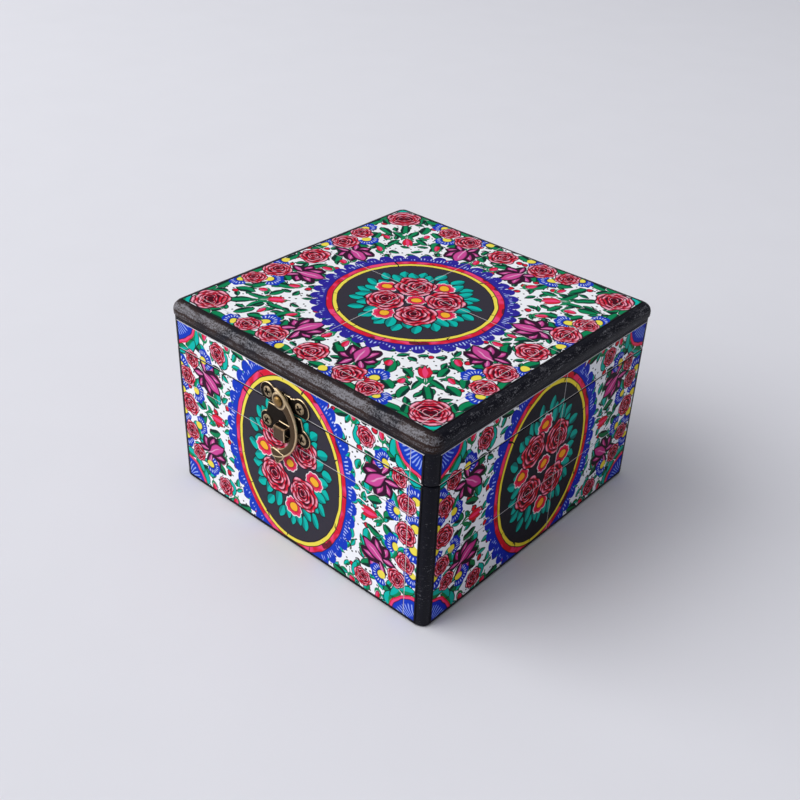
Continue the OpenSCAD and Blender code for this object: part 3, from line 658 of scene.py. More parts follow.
def print_colour(pen, flat, paints, lid):
    """The whole print of one face: growth, motifs, medallion and bouquet, from the white up.
    flat is the face's own two coordinates in millimetres from the medallion's centre."""
    blue = paints.violet if lid else paints.blue
    drift = pen.vector("SUBTRACT", pen.noise(flat, 0.13, 1, out="Color"), (0.5, 0.5, 0.5))
    point = pen.vector("ADD", flat, pen.vector("MULTIPLY", drift, (2.6, 2.6, 0)))
    leaves = (paints.green, paints.forest) if lid else (paints.turquoise, paints.green)
    colour = pen.use(small_growth(), point, paints.white, *leaves, paints.red)
    x, y, _ = pen.parts(point)
    x, y = abs(x), abs(y)
    folded = pen.join(pen.most(x, y), pen.calc("MINIMUM", x, y)) if lid else pen.join(x, y)
    colour = print_motifs(pen, folded, LID_SPOTS if lid else SIDE_SPOTS, paints, colour)
    if not lid:
        colour = corner_fan(pen, folded, paints, colour)
    sizes = (paints.ring, paints.ring) if lid else (paints.oval_width, paints.oval_height)
    steady = pen.vector("ADD", flat, pen.vector("MULTIPLY", drift, (1.0, 1.0, 0)))
    shape = pen.place(steady, (0, 0), 0, [size / paints.ring for size in sizes])
    rings, mask = pen.use(medallion(), shape, paints.slate, blue, paints.yellow, paints.pink,
                          paints.red, paints.turquoise, float(paints.scallops))
    colour = pen.mix(colour, rings, mask)
    return print_motifs(pen, point, ROUND_BOUQUET if lid else OVAL_BOUQUET, paints, colour)


def corner_fan(pen, folded, paints, colour):
    """A blue quarter fan about the corner (74, 46), with pale rays and a pink and red rim."""
    angle, far = pen.polar(pen.vector("SUBTRACT", folded, (74.0, 46.0, 0)))
    rays = pen.fade(pen.calc("COSINE", angle * 46), 0.2, 0.7) * pen.fade(abs(far - 10.6), 3.2, 2.4)
    fan = pen.layers(pen.mix(paints.blue, (0.3, 0.42, 0.85), rays),
                     ((0.03, 0.012, 0.03), far, 15.2, 15.5), (paints.pink, far, 15.6, 15.8),
                     (paints.red, far, 16.6, 16.9))
    return pen.layers(colour, (fan, far, 17.4, 17.1))


# ---------------------------------------------------------------- materials


def material(name, build):
    """A Principled material from a builder that returns its sockets' values. 'Height' feeds a
    Bump node, whose strength and distance are 'Bump' = (strength, millimetres)."""
    made = bpy.data.materials.get(name)
    if made:
        return made
    made = bpy.data.materials.new(name)
    made.use_nodes = True
    made.node_tree.nodes.clear()
    pen = Pen(made.node_tree)
    sockets = build(pen)
    if "Height" in sockets:
        strength, depth = sockets.pop("Bump")
        sockets["Normal"] = pen.add("Bump", {"Strength": strength, "Distance": depth * MM,
                                             "Height": sockets.pop("Height")})
    surface = pen.add("BsdfPrincipled", sockets)
    pen.put(made.node_tree.nodes.new("ShaderNodeOutputMaterial").inputs["Surface"], surface)
    return made


def darker(colour, factor):
    return tuple(part * factor for part in colour)


def case_paint(case):
    """Black-brown paint outside, bare wood inside, silver dragged over the lid's rim. The silver is
    heavier at the front, and that extra is a painted highlight where the lamp grazes the front rim.
    """

    def build(pen):
        point = pen.millimetres()
        x, y, z = pen.parts(point)
        pale, wood_height = pen.use(wood_grain(), point, case.wood_pale, case.wood_dark)
        top, foot = case.lid_top / MM, case.lid_board / MM
        band = pen.fade(z, top - 3.6, top - 2.9) * pen.fade(z, top - 0.1, top - 0.5)
        under = pen.fade(z, foot + 0.2, foot + 0.8) * pen.fade(z, top - 3.9, top - 4.3)
        front = pen.fade(y, -69, -74)
        slow = pen.noise(point, 0.06, 2)
        # painted highlight: the front terms lay extra silver on the front rim, standing in for
        # glints of the lamp
        amount = band * (front * 0.1 + 0.07) + under * (front * 0.06 + 0.03) + slow * 0.2 + 0.05
        mask, speck = pen.use(dragged_paint(), point, amount)
        browned = pen.fade(slow, 0.34, 0.5) * front * pen.fade(z, foot - 1, foot)
        brown = pen.mix(case.paint, linear(50, 36, 32), browned)
        outside = pen.mix(brown, case.brushed, mask * 0.66)
        room = (case.side / 2 - case.wall) / MM + 0.5
        inside = pen.fade(pen.most(abs(x), abs(y)), room + 0.1, room - 0.1)
        inside = inside * pen.fade(z, foot + 0.2, foot - 0.2)
        return {"Base Color": pen.mix(outside, pale, inside), "Specular IOR Level": 0.1,
                "Roughness": 0.4 + mask * 0.2 + inside * 0.2,
                "Height": speck * (1 - inside) + wood_height * inside, "Bump": (0.5, 0.2)}

    return material("Box Paint", build)


def bare_wood(case):
    def build(pen):
        colour, height = pen.use(wood_grain(), pen.millimetres(), case.wood_pale, case.wood_dark)
        return {"Base Color": colour, "Roughness": 0.62 - height * 0.12, "Height": height,
                "Bump": (0.4, 0.15)}

    return material("Bare Wood", build)


# For each pair of faces, by the axes across and up: where the print is centred, and where its
# pieces of paper meet, as places across and up, in millimetres.
TOP, FRONT, SIDE = (0, 1), (0, 2), (1, 2)
CENTRES = {TOP: (0.0, 0.0), FRONT: (-1.0, 43.4), SIDE: (-1.0, 43.4)}
MEETINGS = {TOP: ((-7.2, 64.6), (8.0, -64.6)), FRONT: ((64.6,), (54.0,)), SIDE: ((9.0,), (33.0,))}
LID_CUTS = (70.75, 84.35)


def printed_paper(name, axes, settings):
    """The print on one pair of faces, read from two of the Object coordinates, under varnish.
    Where two pieces of paper meet, a thin pale cut shows with a painted shadow beside it. The left
    and right faces are darkened as painted shade, their colours raised to a power."""

    def build(pen):
        point = pen.millimetres()
        coordinate = pen.parts(point)
        across, up = coordinate[axes[0]], coordinate[axes[1]]
        joints = [along - place for along, places in zip((across, up), MEETINGS[axes])
                  for place in places]
        centre = CENTRES[axes]
        flat = pen.join(across - centre[0], up - centre[1])
        colour = print_colour(pen, flat, settings, lid=axes == TOP)
        # painted shade: the left and right prints are darkened by a gamma, as a face turned from
        # the lamp is
        if axes == SIDE:
            colour = pen.add("Gamma", (colour, settings.side_depth))
        # painted shadow: a dark line just beside each joint, where the lifted edge of the paper
        # would cast it
        shade = lines(pen, [joint + 0.26 for joint in joints], 0.16)
        colour = pen.mix(colour, (0.03, 0.02, 0.03), shade * (0.2 if axes == TOP else 0.7))
        colour = pen.mix(colour, (0.66, 0.63, 0.65), lines(pen, joints, 0.17) * 0.85)
        if axes == TOP:
            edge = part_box("paper_top")[1].x / MM
            rim = pen.fade(pen.most(abs(across), abs(up)), edge - 0.55, edge - 0.3)
            colour = pen.mix(colour, (0.02, 0.018, 0.02), rim)
        else:
            rim = pen.most(pen.fade(abs(across), 69.9, 70.2), pen.fade(up, 2.5, 2.2))
            colour = pen.mix(colour, (0.012, 0.011, 0.014), rim)
            cuts = lines(pen, [up - height for height in LID_CUTS], 0.24)
            colour = pen.mix(colour, (0.62, 0.6, 0.6), cuts)
        brush = pen.noise(point, 0.35, 3, 0.6)
        return {"Base Color": colour, "Roughness": 0.36 + brush * 0.16, "Specular IOR Level": 0.05,
                "Height": brush, "Bump": (0.25, 0.25)}

    return material(name, build)


def metal(name, dark, bare, wear, attribute=None, raised=None):
    """Aged metal. Where an attribute is named, its value at each point is added to the wear;
    raised is (depth, wear) for what stands out in front of the box by more than the depth."""

    def build(pen):
        point = pen.millimetres()
        rub = wear
        if attribute:
            rub = pen.add("Attribute", {}, "Fac", attribute_name=attribute) * 0.55 + wear
        if raised:
            depth, more = raised
            y = pen.parts(point)[1]
            rub = pen.fade(y, FRONT_FACE - depth, FRONT_FACE - 0.5 - depth) * more + wear
        colour, roughness, height = pen.use(aged_metal(), point, dark, bare, rub)
        return {"Base Color": colour, "Metallic": 1.0, "Roughness": roughness,
                "Height": height, "Bump": (0.35, 0.1)}

    return material(name, build)


def cloth(name, colour_at, pitch=0.45, uv=True):
    """Woven cloth: threads run along the UV map in millimetres, or round the upright axis."""

    def build(pen):
        if uv:
            thread = pen.scaled(pen.add("UVMap", {}, uv_map="UVMap"), 1 / MM)
        else:
            x, y, z = pen.parts(pen.millimetres())
            thread = pen.join(pen.calc("ARCTAN2", y, x) * 25, z)
        height, shade = pen.use(weave(), thread, pitch)
        colour = colour_at(pen, thread)
        # painted shade: the dips between the threads are darkened
        colour = pen.mix(colour, (0.02, 0.01, 0.01), 0.32 - shade * 0.3)
        return {"Base Color": colour, "Roughness": 0.85, "Sheen Weight": 0.25,
                "Sheen Roughness": 0.5, "Height": height, "Bump": (0.5, 0.12)}

    return material(name, build)


def felt(name, tone_at):
    """Matted wool, coloured by tone_at(pen, point, shade), where shade is partly painted shade of
    the low fibres and partly uneven tone.
    """

    def build(pen):
        point = pen.millimetres()
        height, shade = pen.use(felted_fibre(), point)
        return {"Base Color": tone_at(pen, point, shade), "Roughness": 0.92, "Sheen Weight": 0.4,
                "Sheen Roughness": 0.45, "Height": height, "Bump": (0.7, 0.25)}

    return material(name, build)


def plain_felt(name, colour):
    return felt(name, lambda pen, point, shade: pen.mix(
        colour, darker(colour, 0.45), pen.fade(shade, 0.56, 0.36)))


def painted_face(toy):
    """Face paint on the head, laid out on (|x|, height): eyes with a painted highlight, brows,
    cheeks and a smile.
    """

    def build(pen):
        point = pen.millimetres()
        x, y, z = pen.parts(point)
        brush = pen.noise(point, 0.5, 3)
        colour = pen.mix(toy.skin, darker(toy.skin, 0.8), brush * 0.3)
        half = pen.join(abs(x), z)
        cheek = pen.oval(half, (9.8, 49.2), (4.2, 3.6))
        colour = pen.mix(colour, toy.cheek, pen.fade(cheek, 1.0, 0.2) * 0.75)
        front = pen.fade(y, 0, -4)
        # the last mark, a small white dot on each eye, is a painted highlight
        for at, size, paint in (((6.2, 54.3), (2.7, 2.3), (0.86, 0.85, 0.82)),
                                ((6.0, 54.1), (1.6, 1.9), toy.iris),
                                ((6.0, 54.1), (0.85, 1.0), (0.004, 0.004, 0.005)),
                                ((6.5, 54.8), (0.4, 0.45), (0.9, 0.9, 0.9))):
            mark = pen.fade(pen.oval(half, at, size), 1.05, 0.97) * front
            colour = pen.mix(colour, paint, mark)
        lash = abs(pen.oval(half, (6.2, 53.4), (3.4, 3.6)) - 1)
        lash = pen.fade(lash, 0.09, 0.04) * pen.fade(z, 55.4, 55.9) * front
        colour = pen.mix(colour, (0.03, 0.012, 0.006), lash * pen.fade(abs(x), 11, 10))
        smile = pen.fade(pen.oval(half, (0, 52.2), (8.2, 6.6)), 1.03, 0.98)
        smile = smile * pen.fade(pen.oval(half, (0, 52.9), (8.4, 6.2)), 0.97, 1.02)
        colour = pen.mix(colour, toy.lips, smile * pen.fade(z, 50.2, 49.9) * front)
        return {"Base Color": colour, "Roughness": 0.34 + brush * 0.12, "Coat Weight": 0.3,
                "Coat Roughness": 0.2, "Height": brush, "Bump": (0.2, 0.2)}

    return material("Painted Face", build)


def gloss_paint(name, colour):
    def build(pen):
        brush = pen.noise(pen.millimetres(), 0.6, 3)
        tone = pen.mix(colour, darker(colour, 0.7), pen.fade(brush, 0.45, 0.75))
        return {"Base Color": tone, "Roughness": 0.24 + brush * 0.12, "Coat Weight": 0.4,
                "Coat Roughness": 0.12, "Height": brush, "Bump": (0.15, 0.2)}

    return material(name, build)


# ---------------------------------------------------------------- surfaces

Patch = namedtuple("Patch", "points uv wear caps", defaults=(None, None, False))
WELD = 2e-6  # points nearer than this many metres become one


def surface(name, *patches):
    """One mesh from patches, or plain grids of points, in millimetres: four neighbours make a
    face, a capped patch is closed at its first and last row, and rims that touch are welded. A
    patch whose volume comes out negative is turned round, so that its faces point outwards."""
    points, faces, uvs, wears, start = [], [], [], [], 0
    for patch in patches:
        patch = patch if isinstance(patch, Patch) else Patch(patch)
        grid = np.asarray(patch.points, float)
        count = grid.shape[0] * grid.shape[1]
        index = np.arange(count).reshape(grid.shape[:2])
        quads = np.stack([index[:-1, :-1], index[1:, :-1], index[1:, 1:], index[:-1, 1:]], -1)
        quads = quads.reshape(-1, 4)
        flat = grid.reshape(-1, 3)
        corner = flat[quads] - flat.mean(0)
        normal = np.cross(corner[:, 2] - corner[:, 0], corner[:, 3] - corner[:, 1])
        loops = [*quads, index[0, :-1], index[-1, :-1][::-1]] if patch.caps else list(quads)
        if (patch.caps or is_closed(grid)) and np.sum(corner.mean(1) * normal) < 0:
            loops = [loop[::-1] for loop in loops]
        uv = np.zeros((count, 2)) if patch.uv is None else patch.uv.reshape(-1, 2) * MM
        faces += [(loop + start).tolist() for loop in loops]
        uvs += [uv[loop] for loop in loops]
        wears.append(np.zeros(count) if patch.wear is None else patch.wear.ravel())
        points.append(flat * MM)
        start += count
    mesh = bpy.data.meshes.new(name)
    mesh.from_pydata(np.vstack(points), [], faces)
    layer = mesh.uv_layers.new(name="UVMap")
    layer.data.foreach_set("uv", np.vstack(uvs).astype(np.float32).ravel())
    wear = mesh.attributes.new("wear", "FLOAT", "POINT")
    wear.data.foreach_set("value", np.concatenate(wears).astype(np.float32))
    work = bmesh.new()
    work.from_mesh(mesh)
    bmesh.ops.remove_doubles(work, verts=work.verts, dist=WELD)
    work.to_mesh(mesh)
    work.free()
    return joined_to_scene(name, mesh, sharp=38)


def is_closed(grid):
    """True where the columns meet, and the rows meet each other or shrink to a point."""
    across = np.allclose(grid[:, 0], grid[:, -1], atol=1e-3)
    ends = np.allclose(grid[0], grid[-1], atol=1e-3)
    poles = np.ptp(grid[0], 0).max() < 1e-3 and np.ptp(grid[-1], 0).max() < 1e-3
    return across and (ends or poles)


def joined_to_scene(name, mesh, sharp):
    mesh.shade_smooth()
    mesh.set_sharp_from_angle(angle=math.radians(sharp))
    made = bpy.data.objects.new(name, mesh)
    bpy.context.scene.collection.objects.link(made)
    return made


def settle(piece, body, slot, paint, *nodes):
    """Gives a piece its material, its body, and the nodes that it stands for. The slot is not used.
    """
    if not piece.data.materials:
        piece.data.materials.append(paint)
    if nodes:
        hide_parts(*nodes)
    if body:
        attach(piece, body)
    return piece


def dress(paint, *nodes):
    """Puts a material on CAD nodes that keep their own shape."""
    for node in nodes:
        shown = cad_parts[node]
        if not shown.material_slots:
            shown.data.materials.append(paint)
        for place in shown.material_slots:
            place.material = paint


def softened(node, paint, edge_paint, width):
    """A CAD node's shape with its sharp edges rolled over, the rolled strips in their own finish:
    its triangles are welded, flat faces joined, and a Bevel modifier rounds what is left."""
    work = bmesh.new()
    work.from_mesh(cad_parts[node].data)
    bmesh.ops.remove_doubles(work, verts=work.verts, dist=WELD)
    bmesh.ops.dissolve_limit(work, angle_limit=math.radians(1), verts=work.verts, edges=work.edges)
    corners = [tuple(v.co) for v in work.verts]
    work.verts.index_update()
    faces = [[v.index for v in f.verts] for f in work.faces]
    work.free()
    mesh = bpy.data.meshes.new(node + "_soft")
    mesh.from_pydata(corners, [], faces)
    made = joined_to_scene(node + "_soft", mesh, sharp=30)
    mesh.materials.append(paint)
    mesh.materials.append(edge_paint)
    roll = made.modifiers.new("Rolled edges", "BEVEL")
    roll.width = width * MM
    roll.segments = 2
    roll.limit_method = "ANGLE"
    roll.angle_limit = math.radians(40)
    roll.use_clamp_overlap = False
    roll.material = 1
    return made


def square_outline(arc=7, side=24):
    """A rounded square's outline as factors (sx, sy, cx, cy): a point is
    (half - radius)(sx, sy) + radius(cx, cy), the corners first and the straight sides between."""
    corners = ((1, 1), (-1, 1), (-1, -1), (1, -1))
    found = []
    for k, (sx, sy) in enumerate(corners):
        angle = np.radians(np.linspace(0, 90, arc + 1) + 90 * k)
        found.append(np.broadcast_arrays(sx, sy, np.cos(angle), np.sin(angle)))
        nx, ny = corners[(k + 1) % 4]
        t = np.linspace(0, 1, side + 1)[1:-1]
        found.append(np.broadcast_arrays(sx + (nx - sx) * t, sy + (ny - sy) * t,
                                         math.cos(angle[-1]), math.sin(angle[-1])))
    whole = np.concatenate(found, 1)
    return np.concatenate([whole, whole[:, :1]], 1)


def square_shell(rows, radius, sway):
    """Rounded squares stacked up: each row is (half side, height), and has its corner radius. The
    sides wander in and out by up to twice the sway, as hand-sanded edges do."""
    half, height = rows.T[..., None]
    radius = radius[:, None]
    sx, sy, cx, cy = square_outline()
    run = np.linspace(0, TURN, len(sx))
    wave = np.sin(5 * run + 0.7) + 0.7 * np.sin(13 * run) + 0.5 * np.sin(23 * run)
    wander = 1 + sway * wave / np.maximum(half, 40)
    x, y = ((half - radius) * s + radius * c for s, c in ((sx, cx), (sy, cy)))
    return np.stack(np.broadcast_arrays(x * wander, y * wander, height), -1)


def rolled(half, height, size, start, stop, steps=4):
    """Rows (half side, height) round an edge: a quarter circle of that size about its centre."""
    angle = np.radians(np.linspace(start, stop, steps + 1))
    return np.stack([half + size * np.cos(angle), height + size * np.sin(angle)], 1)


def tube(path, radius, up, sides):
    """A circle carried along a path, in the plane of (tangent x up) and its own cross product."""
    path = np.asarray(path, float)
    tangent = np.gradient(path, axis=0)
    tangent /= np.linalg.norm(tangent, axis=1, keepdims=True)
    across = np.cross(tangent, np.broadcast_to(up, path.shape))
    across /= np.linalg.norm(across, axis=1, keepdims=True)
    over = np.cross(across, tangent)
    angle = np.linspace(0, TURN, sides + 1)[None, :, None]
    ring = np.cos(angle) * across[:, None] + np.sin(angle) * over[:, None]
    return path[:, None] + np.broadcast_to(radius, len(path))[:, None, None] * ring


def around(radius, angle, height):
    """Points at a radius and an angle about the upright axis, at a height."""
    grids = np.broadcast_arrays(radius * np.cos(angle), radius * np.sin(angle), height)
    return np.stack(grids, -1)


def lathe(profile, centre=(0, 0, 0), sides=48, axis="z"):
    """A profile of (radius, height) turned about the upright axis, or the way to the front."""
    radius, height = np.asarray(profile, float).T[..., None]
    grid = around(radius, np.linspace(0, TURN, sides + 1)[None], height)
    if axis == "front":
        grid = grid[..., (0, 2, 1)] * (1, -1, 1)
    return grid + np.asarray(centre)


def ball(centre, radius, rows=24, sides=36):
    """A sphere as a turned half circle."""
    angle = np.linspace(-math.pi / 2, math.pi / 2, rows + 1)
    radii = np.abs(np.cos(angle)).round(9)
    return lathe(np.stack([radius * radii, radius * np.sin(angle)], 1), centre, sides)


def yarn_ball(centre, radius, thread, winds, loops, curl):
    """A thread laid in loops over a sphere: the path runs from pole to pole in a spiral, and
    small circles of the curl's size, in and out and along, are added to it."""
    t = np.linspace(0, 1, loops * 12)
    polar = math.pi * (0.1 + 0.8 * t)
    azimuth = TURN * winds * t
    out = around(np.sin(polar), azimuth, np.cos(polar))
    down = around(np.cos(polar), azimuth, -np.sin(polar))
    phase = (TURN * loops * t)[:, None]
    path = out * (radius - curl + curl * np.cos(phase)) + down * curl * 1.5 * np.sin(phase)
    return Patch(tube(np.asarray(centre) + path, thread, out, 7), caps=True)


def swell(piece, voxel, pressure, limit, steps=20):
    """Blows a closed piece up as stuffed cloth: an even remesh, a cloth run under pressure
    without gravity, each point held to within the limit of where it started, one subdivision."""

    def settled():
        graph = bpy.context.evaluated_depsgraph_get()
        return bpy.data.meshes.new_from_object(piece.evaluated_get(graph))

    remesh = piece.modifiers.new("Even mesh", "REMESH")
    remesh.mode = "VOXEL"
    remesh.voxel_size = voxel * MM
    piece.data = settled()
    piece.modifiers.remove(remesh)
    count = len(piece.data.vertices)
    start = np.empty(count * 3)
    piece.data.vertices.foreach_get("co", start)
    stuffing = piece.modifiers.new("Stuffing", "CLOTH")
    stuffing.settings.use_pressure = True
    stuffing.settings.uniform_pressure_force = pressure
    stuffing.settings.effector_weights.gravity = 0
    stuffing.settings.quality = 6
    scene = bpy.context.scene
    for step in range(1, steps + 1):
        scene.frame_set(step)
    blown = settled()
    piece.modifiers.remove(stuffing)
    scene.frame_set(1)
    end = np.empty(count * 3)
    blown.vertices.foreach_get("co", end)
    move = (end - start).reshape(-1, 3)
    far = np.linalg.norm(move, axis=1, keepdims=True)
    move *= np.minimum(1, limit * MM / np.maximum(far, 1e-9))
    piece.data.vertices.foreach_set("co", (start.reshape(-1, 3) + move).ravel())
    finer = piece.modifiers.new("Smooth", "SUBSURF")
    finer.levels = finer.render_levels = 1
    piece.data = settled()
    piece.modifiers.remove(finer)
    piece.data.shade_smooth()


# ---------------------------------------------------------------- operators


def framed(name, case, outer, inner):
    """Four walls as one closed ring: rows (half side, height) up the outside and down the inside.
    The outer corners have the case's radius, less where a row is set in, and the inner ones 0.8."""
    rows = np.vstack([outer, inner, outer[:1]])
    radius = rows[:, 0] + (case.corner - case.side / 2) / MM
    radius[len(outer):-1] = 0.8
    return surface(name, square_shell(rows, radius, sway=0.06))


class JACKBOX_OT_case(bpy.types.Operator):
    """Make the rounded case walls, with paint outside and bare wood inside"""

    bl_idname = "jackbox.case"
    bl_label = "Case"

    def execute(self, context):
        case = context.scene.jackbox_case
        half, top = case.side / MM / 2, case.height / MM
        room = half - case.wall / MM
        outer = [rolled(half - 0.9, 0.9, 0.9, -90, 0), rolled(half - 0.7, top - 0.7, 0.7, 0, 90)]
        inner = [rolled(room + 0.4, top - 0.4, 0.4, 90, 180),
                 rolled(room + 0.2, 0.2, 0.2, 180, 270)]
        walls = framed("case_walls", case, np.vstack(outer), np.vstack(inner))
        settle(walls, "case", "painted_wood", case_paint(case),
               "wall_front", "wall_back", "wall_left", "wall_right")
        dress(bare_wood(case), "floor_board")
        return {"FINISHED"}


class JACKBOX_OT_lid(bpy.types.Operator):
    """Make the lid's frame of rails and the board on it, with its rolled upper edge"""

    bl_idname = "jackbox.lid"
    bl_label = "Lid"

    def execute(self, context):
        case = context.scene.jackbox_case
        paint = case_paint(case)
        half, low, high = case.side / MM / 2, case.lid_low / MM, case.lid_board / MM
        room = half - case.wall / MM
        outer = np.vstack([rolled(half - 0.7, low + 0.7, 0.7, -90, 0), [(half, high)]])
        inner = np.vstack([[(room, high)], rolled(room + 0.4, low + 0.4, 0.4, 180, 270)])
        settle(framed("lid_rails", case, outer, inner), "lid", "painted_wood", paint,
               "rail_front", "rail_back", "rail_left", "rail_right")
        half, top, corner = case.board_side / MM / 2, case.lid_top / MM, case.board_corner / MM
        roll = case.board_roll / MM
        edge = np.vstack([[(0.01, high), (half - 3, high)], rolled(half - 1, high + 1, 1, -90, 0),
                          rolled(half - roll, top - roll, roll, 0, 90, 10),
                          [(half - roll - 2, top), (0.01, top)]])
        radius = np.minimum(np.maximum(corner - half + edge[:, 0], 0.6), edge[:, 0])
        shell = square_shell(edge, radius, sway=0.1)
        board = surface("lid_top_board", Patch(shell, caps=True))
        settle(board, "lid", "painted_wood", paint, "lid_board")
        return {"FINISHED"}


class JACKBOX_OT_paper(bpy.types.Operator):
    """Print the flowered papers of the case and the lid"""

    bl_idname = "jackbox.paper"
    bl_label = "Printed paper"

    def execute(self, context):
        paints = context.scene.jackbox_print
        dress(printed_paper("Lid Print", TOP, paints), "paper_top")
        for name, axes, ends in (("Front Print", FRONT, ("front", "back")),
                                 ("Side Print With Painted Shade", SIDE, ("left", "right"))):
            nodes = [f"paper_{body}_{end}" for body in ("case", "lid") for end in ends]
            dress(printed_paper(name, axes, paints), *nodes)
        return {"FINISHED"}


class JACKBOX_OT_hinges(bpy.types.Operator):
    """Soften the two stop hinges and give them aged brass"""

    bl_idname = "jackbox.hinges"
    bl_label = "Hinges"

    def execute(self, context):
        latch = context.scene.jackbox_latch
        brass = metal("Hinge Brass", latch.dark, latch.brass, wear=0.3)
        worn = metal("Hinge Edges", latch.brass, latch.worn, wear=0.4)
        for node in ("hinge_case_left", "hinge_case_right", "hinge_lid_left", "hinge_lid_right"):
            body = node.split("_")[1]
            settle(softened(node, brass, worn, width=0.14), body, "hinge_brass", brass, node)
        dress(worn, "hinge_pin_left", "hinge_pin_right", "hinge_case_screws", "hinge_lid_screws")
        return {"FINISHED"}


def ray_length(way, centre, radius):
    """How far rays from the origin run before they leave a circle or ball: 0 where they miss."""
    along = way @ centre
    hit = radius**2 - (centre @ centre - along**2)
    return np.where(hit > 0, along + np.sqrt(np.maximum(hit, 0)), 0)


def ray_outline(centre, circle, polygon, count=96):
    """How far rays from the centre run before they leave the circle or the convex polygon,
    whichever is last, for each of a whole turn of directions."""
    way = around(1, np.linspace(0, TURN, count + 1), 0)[:, :2]
    corners = np.asarray(polygon, float) - centre
    edge = np.roll(corners, -1, 0) - corners
    out = np.stack([edge[:, 1], -edge[:, 0]], 1)
    out *= np.sign(np.sum(out * corners, 1))[:, None]
    slope = way @ out.T
    far = np.sum(out * corners, 1) / np.where(slope > 1e-6, slope, np.inf)
    reach = np.where(slope > 1e-6, far, np.inf).min(1)
    x, y, radius = circle
    return way, np.maximum(reach, ray_length(way, np.array((x, y)) - centre, radius))


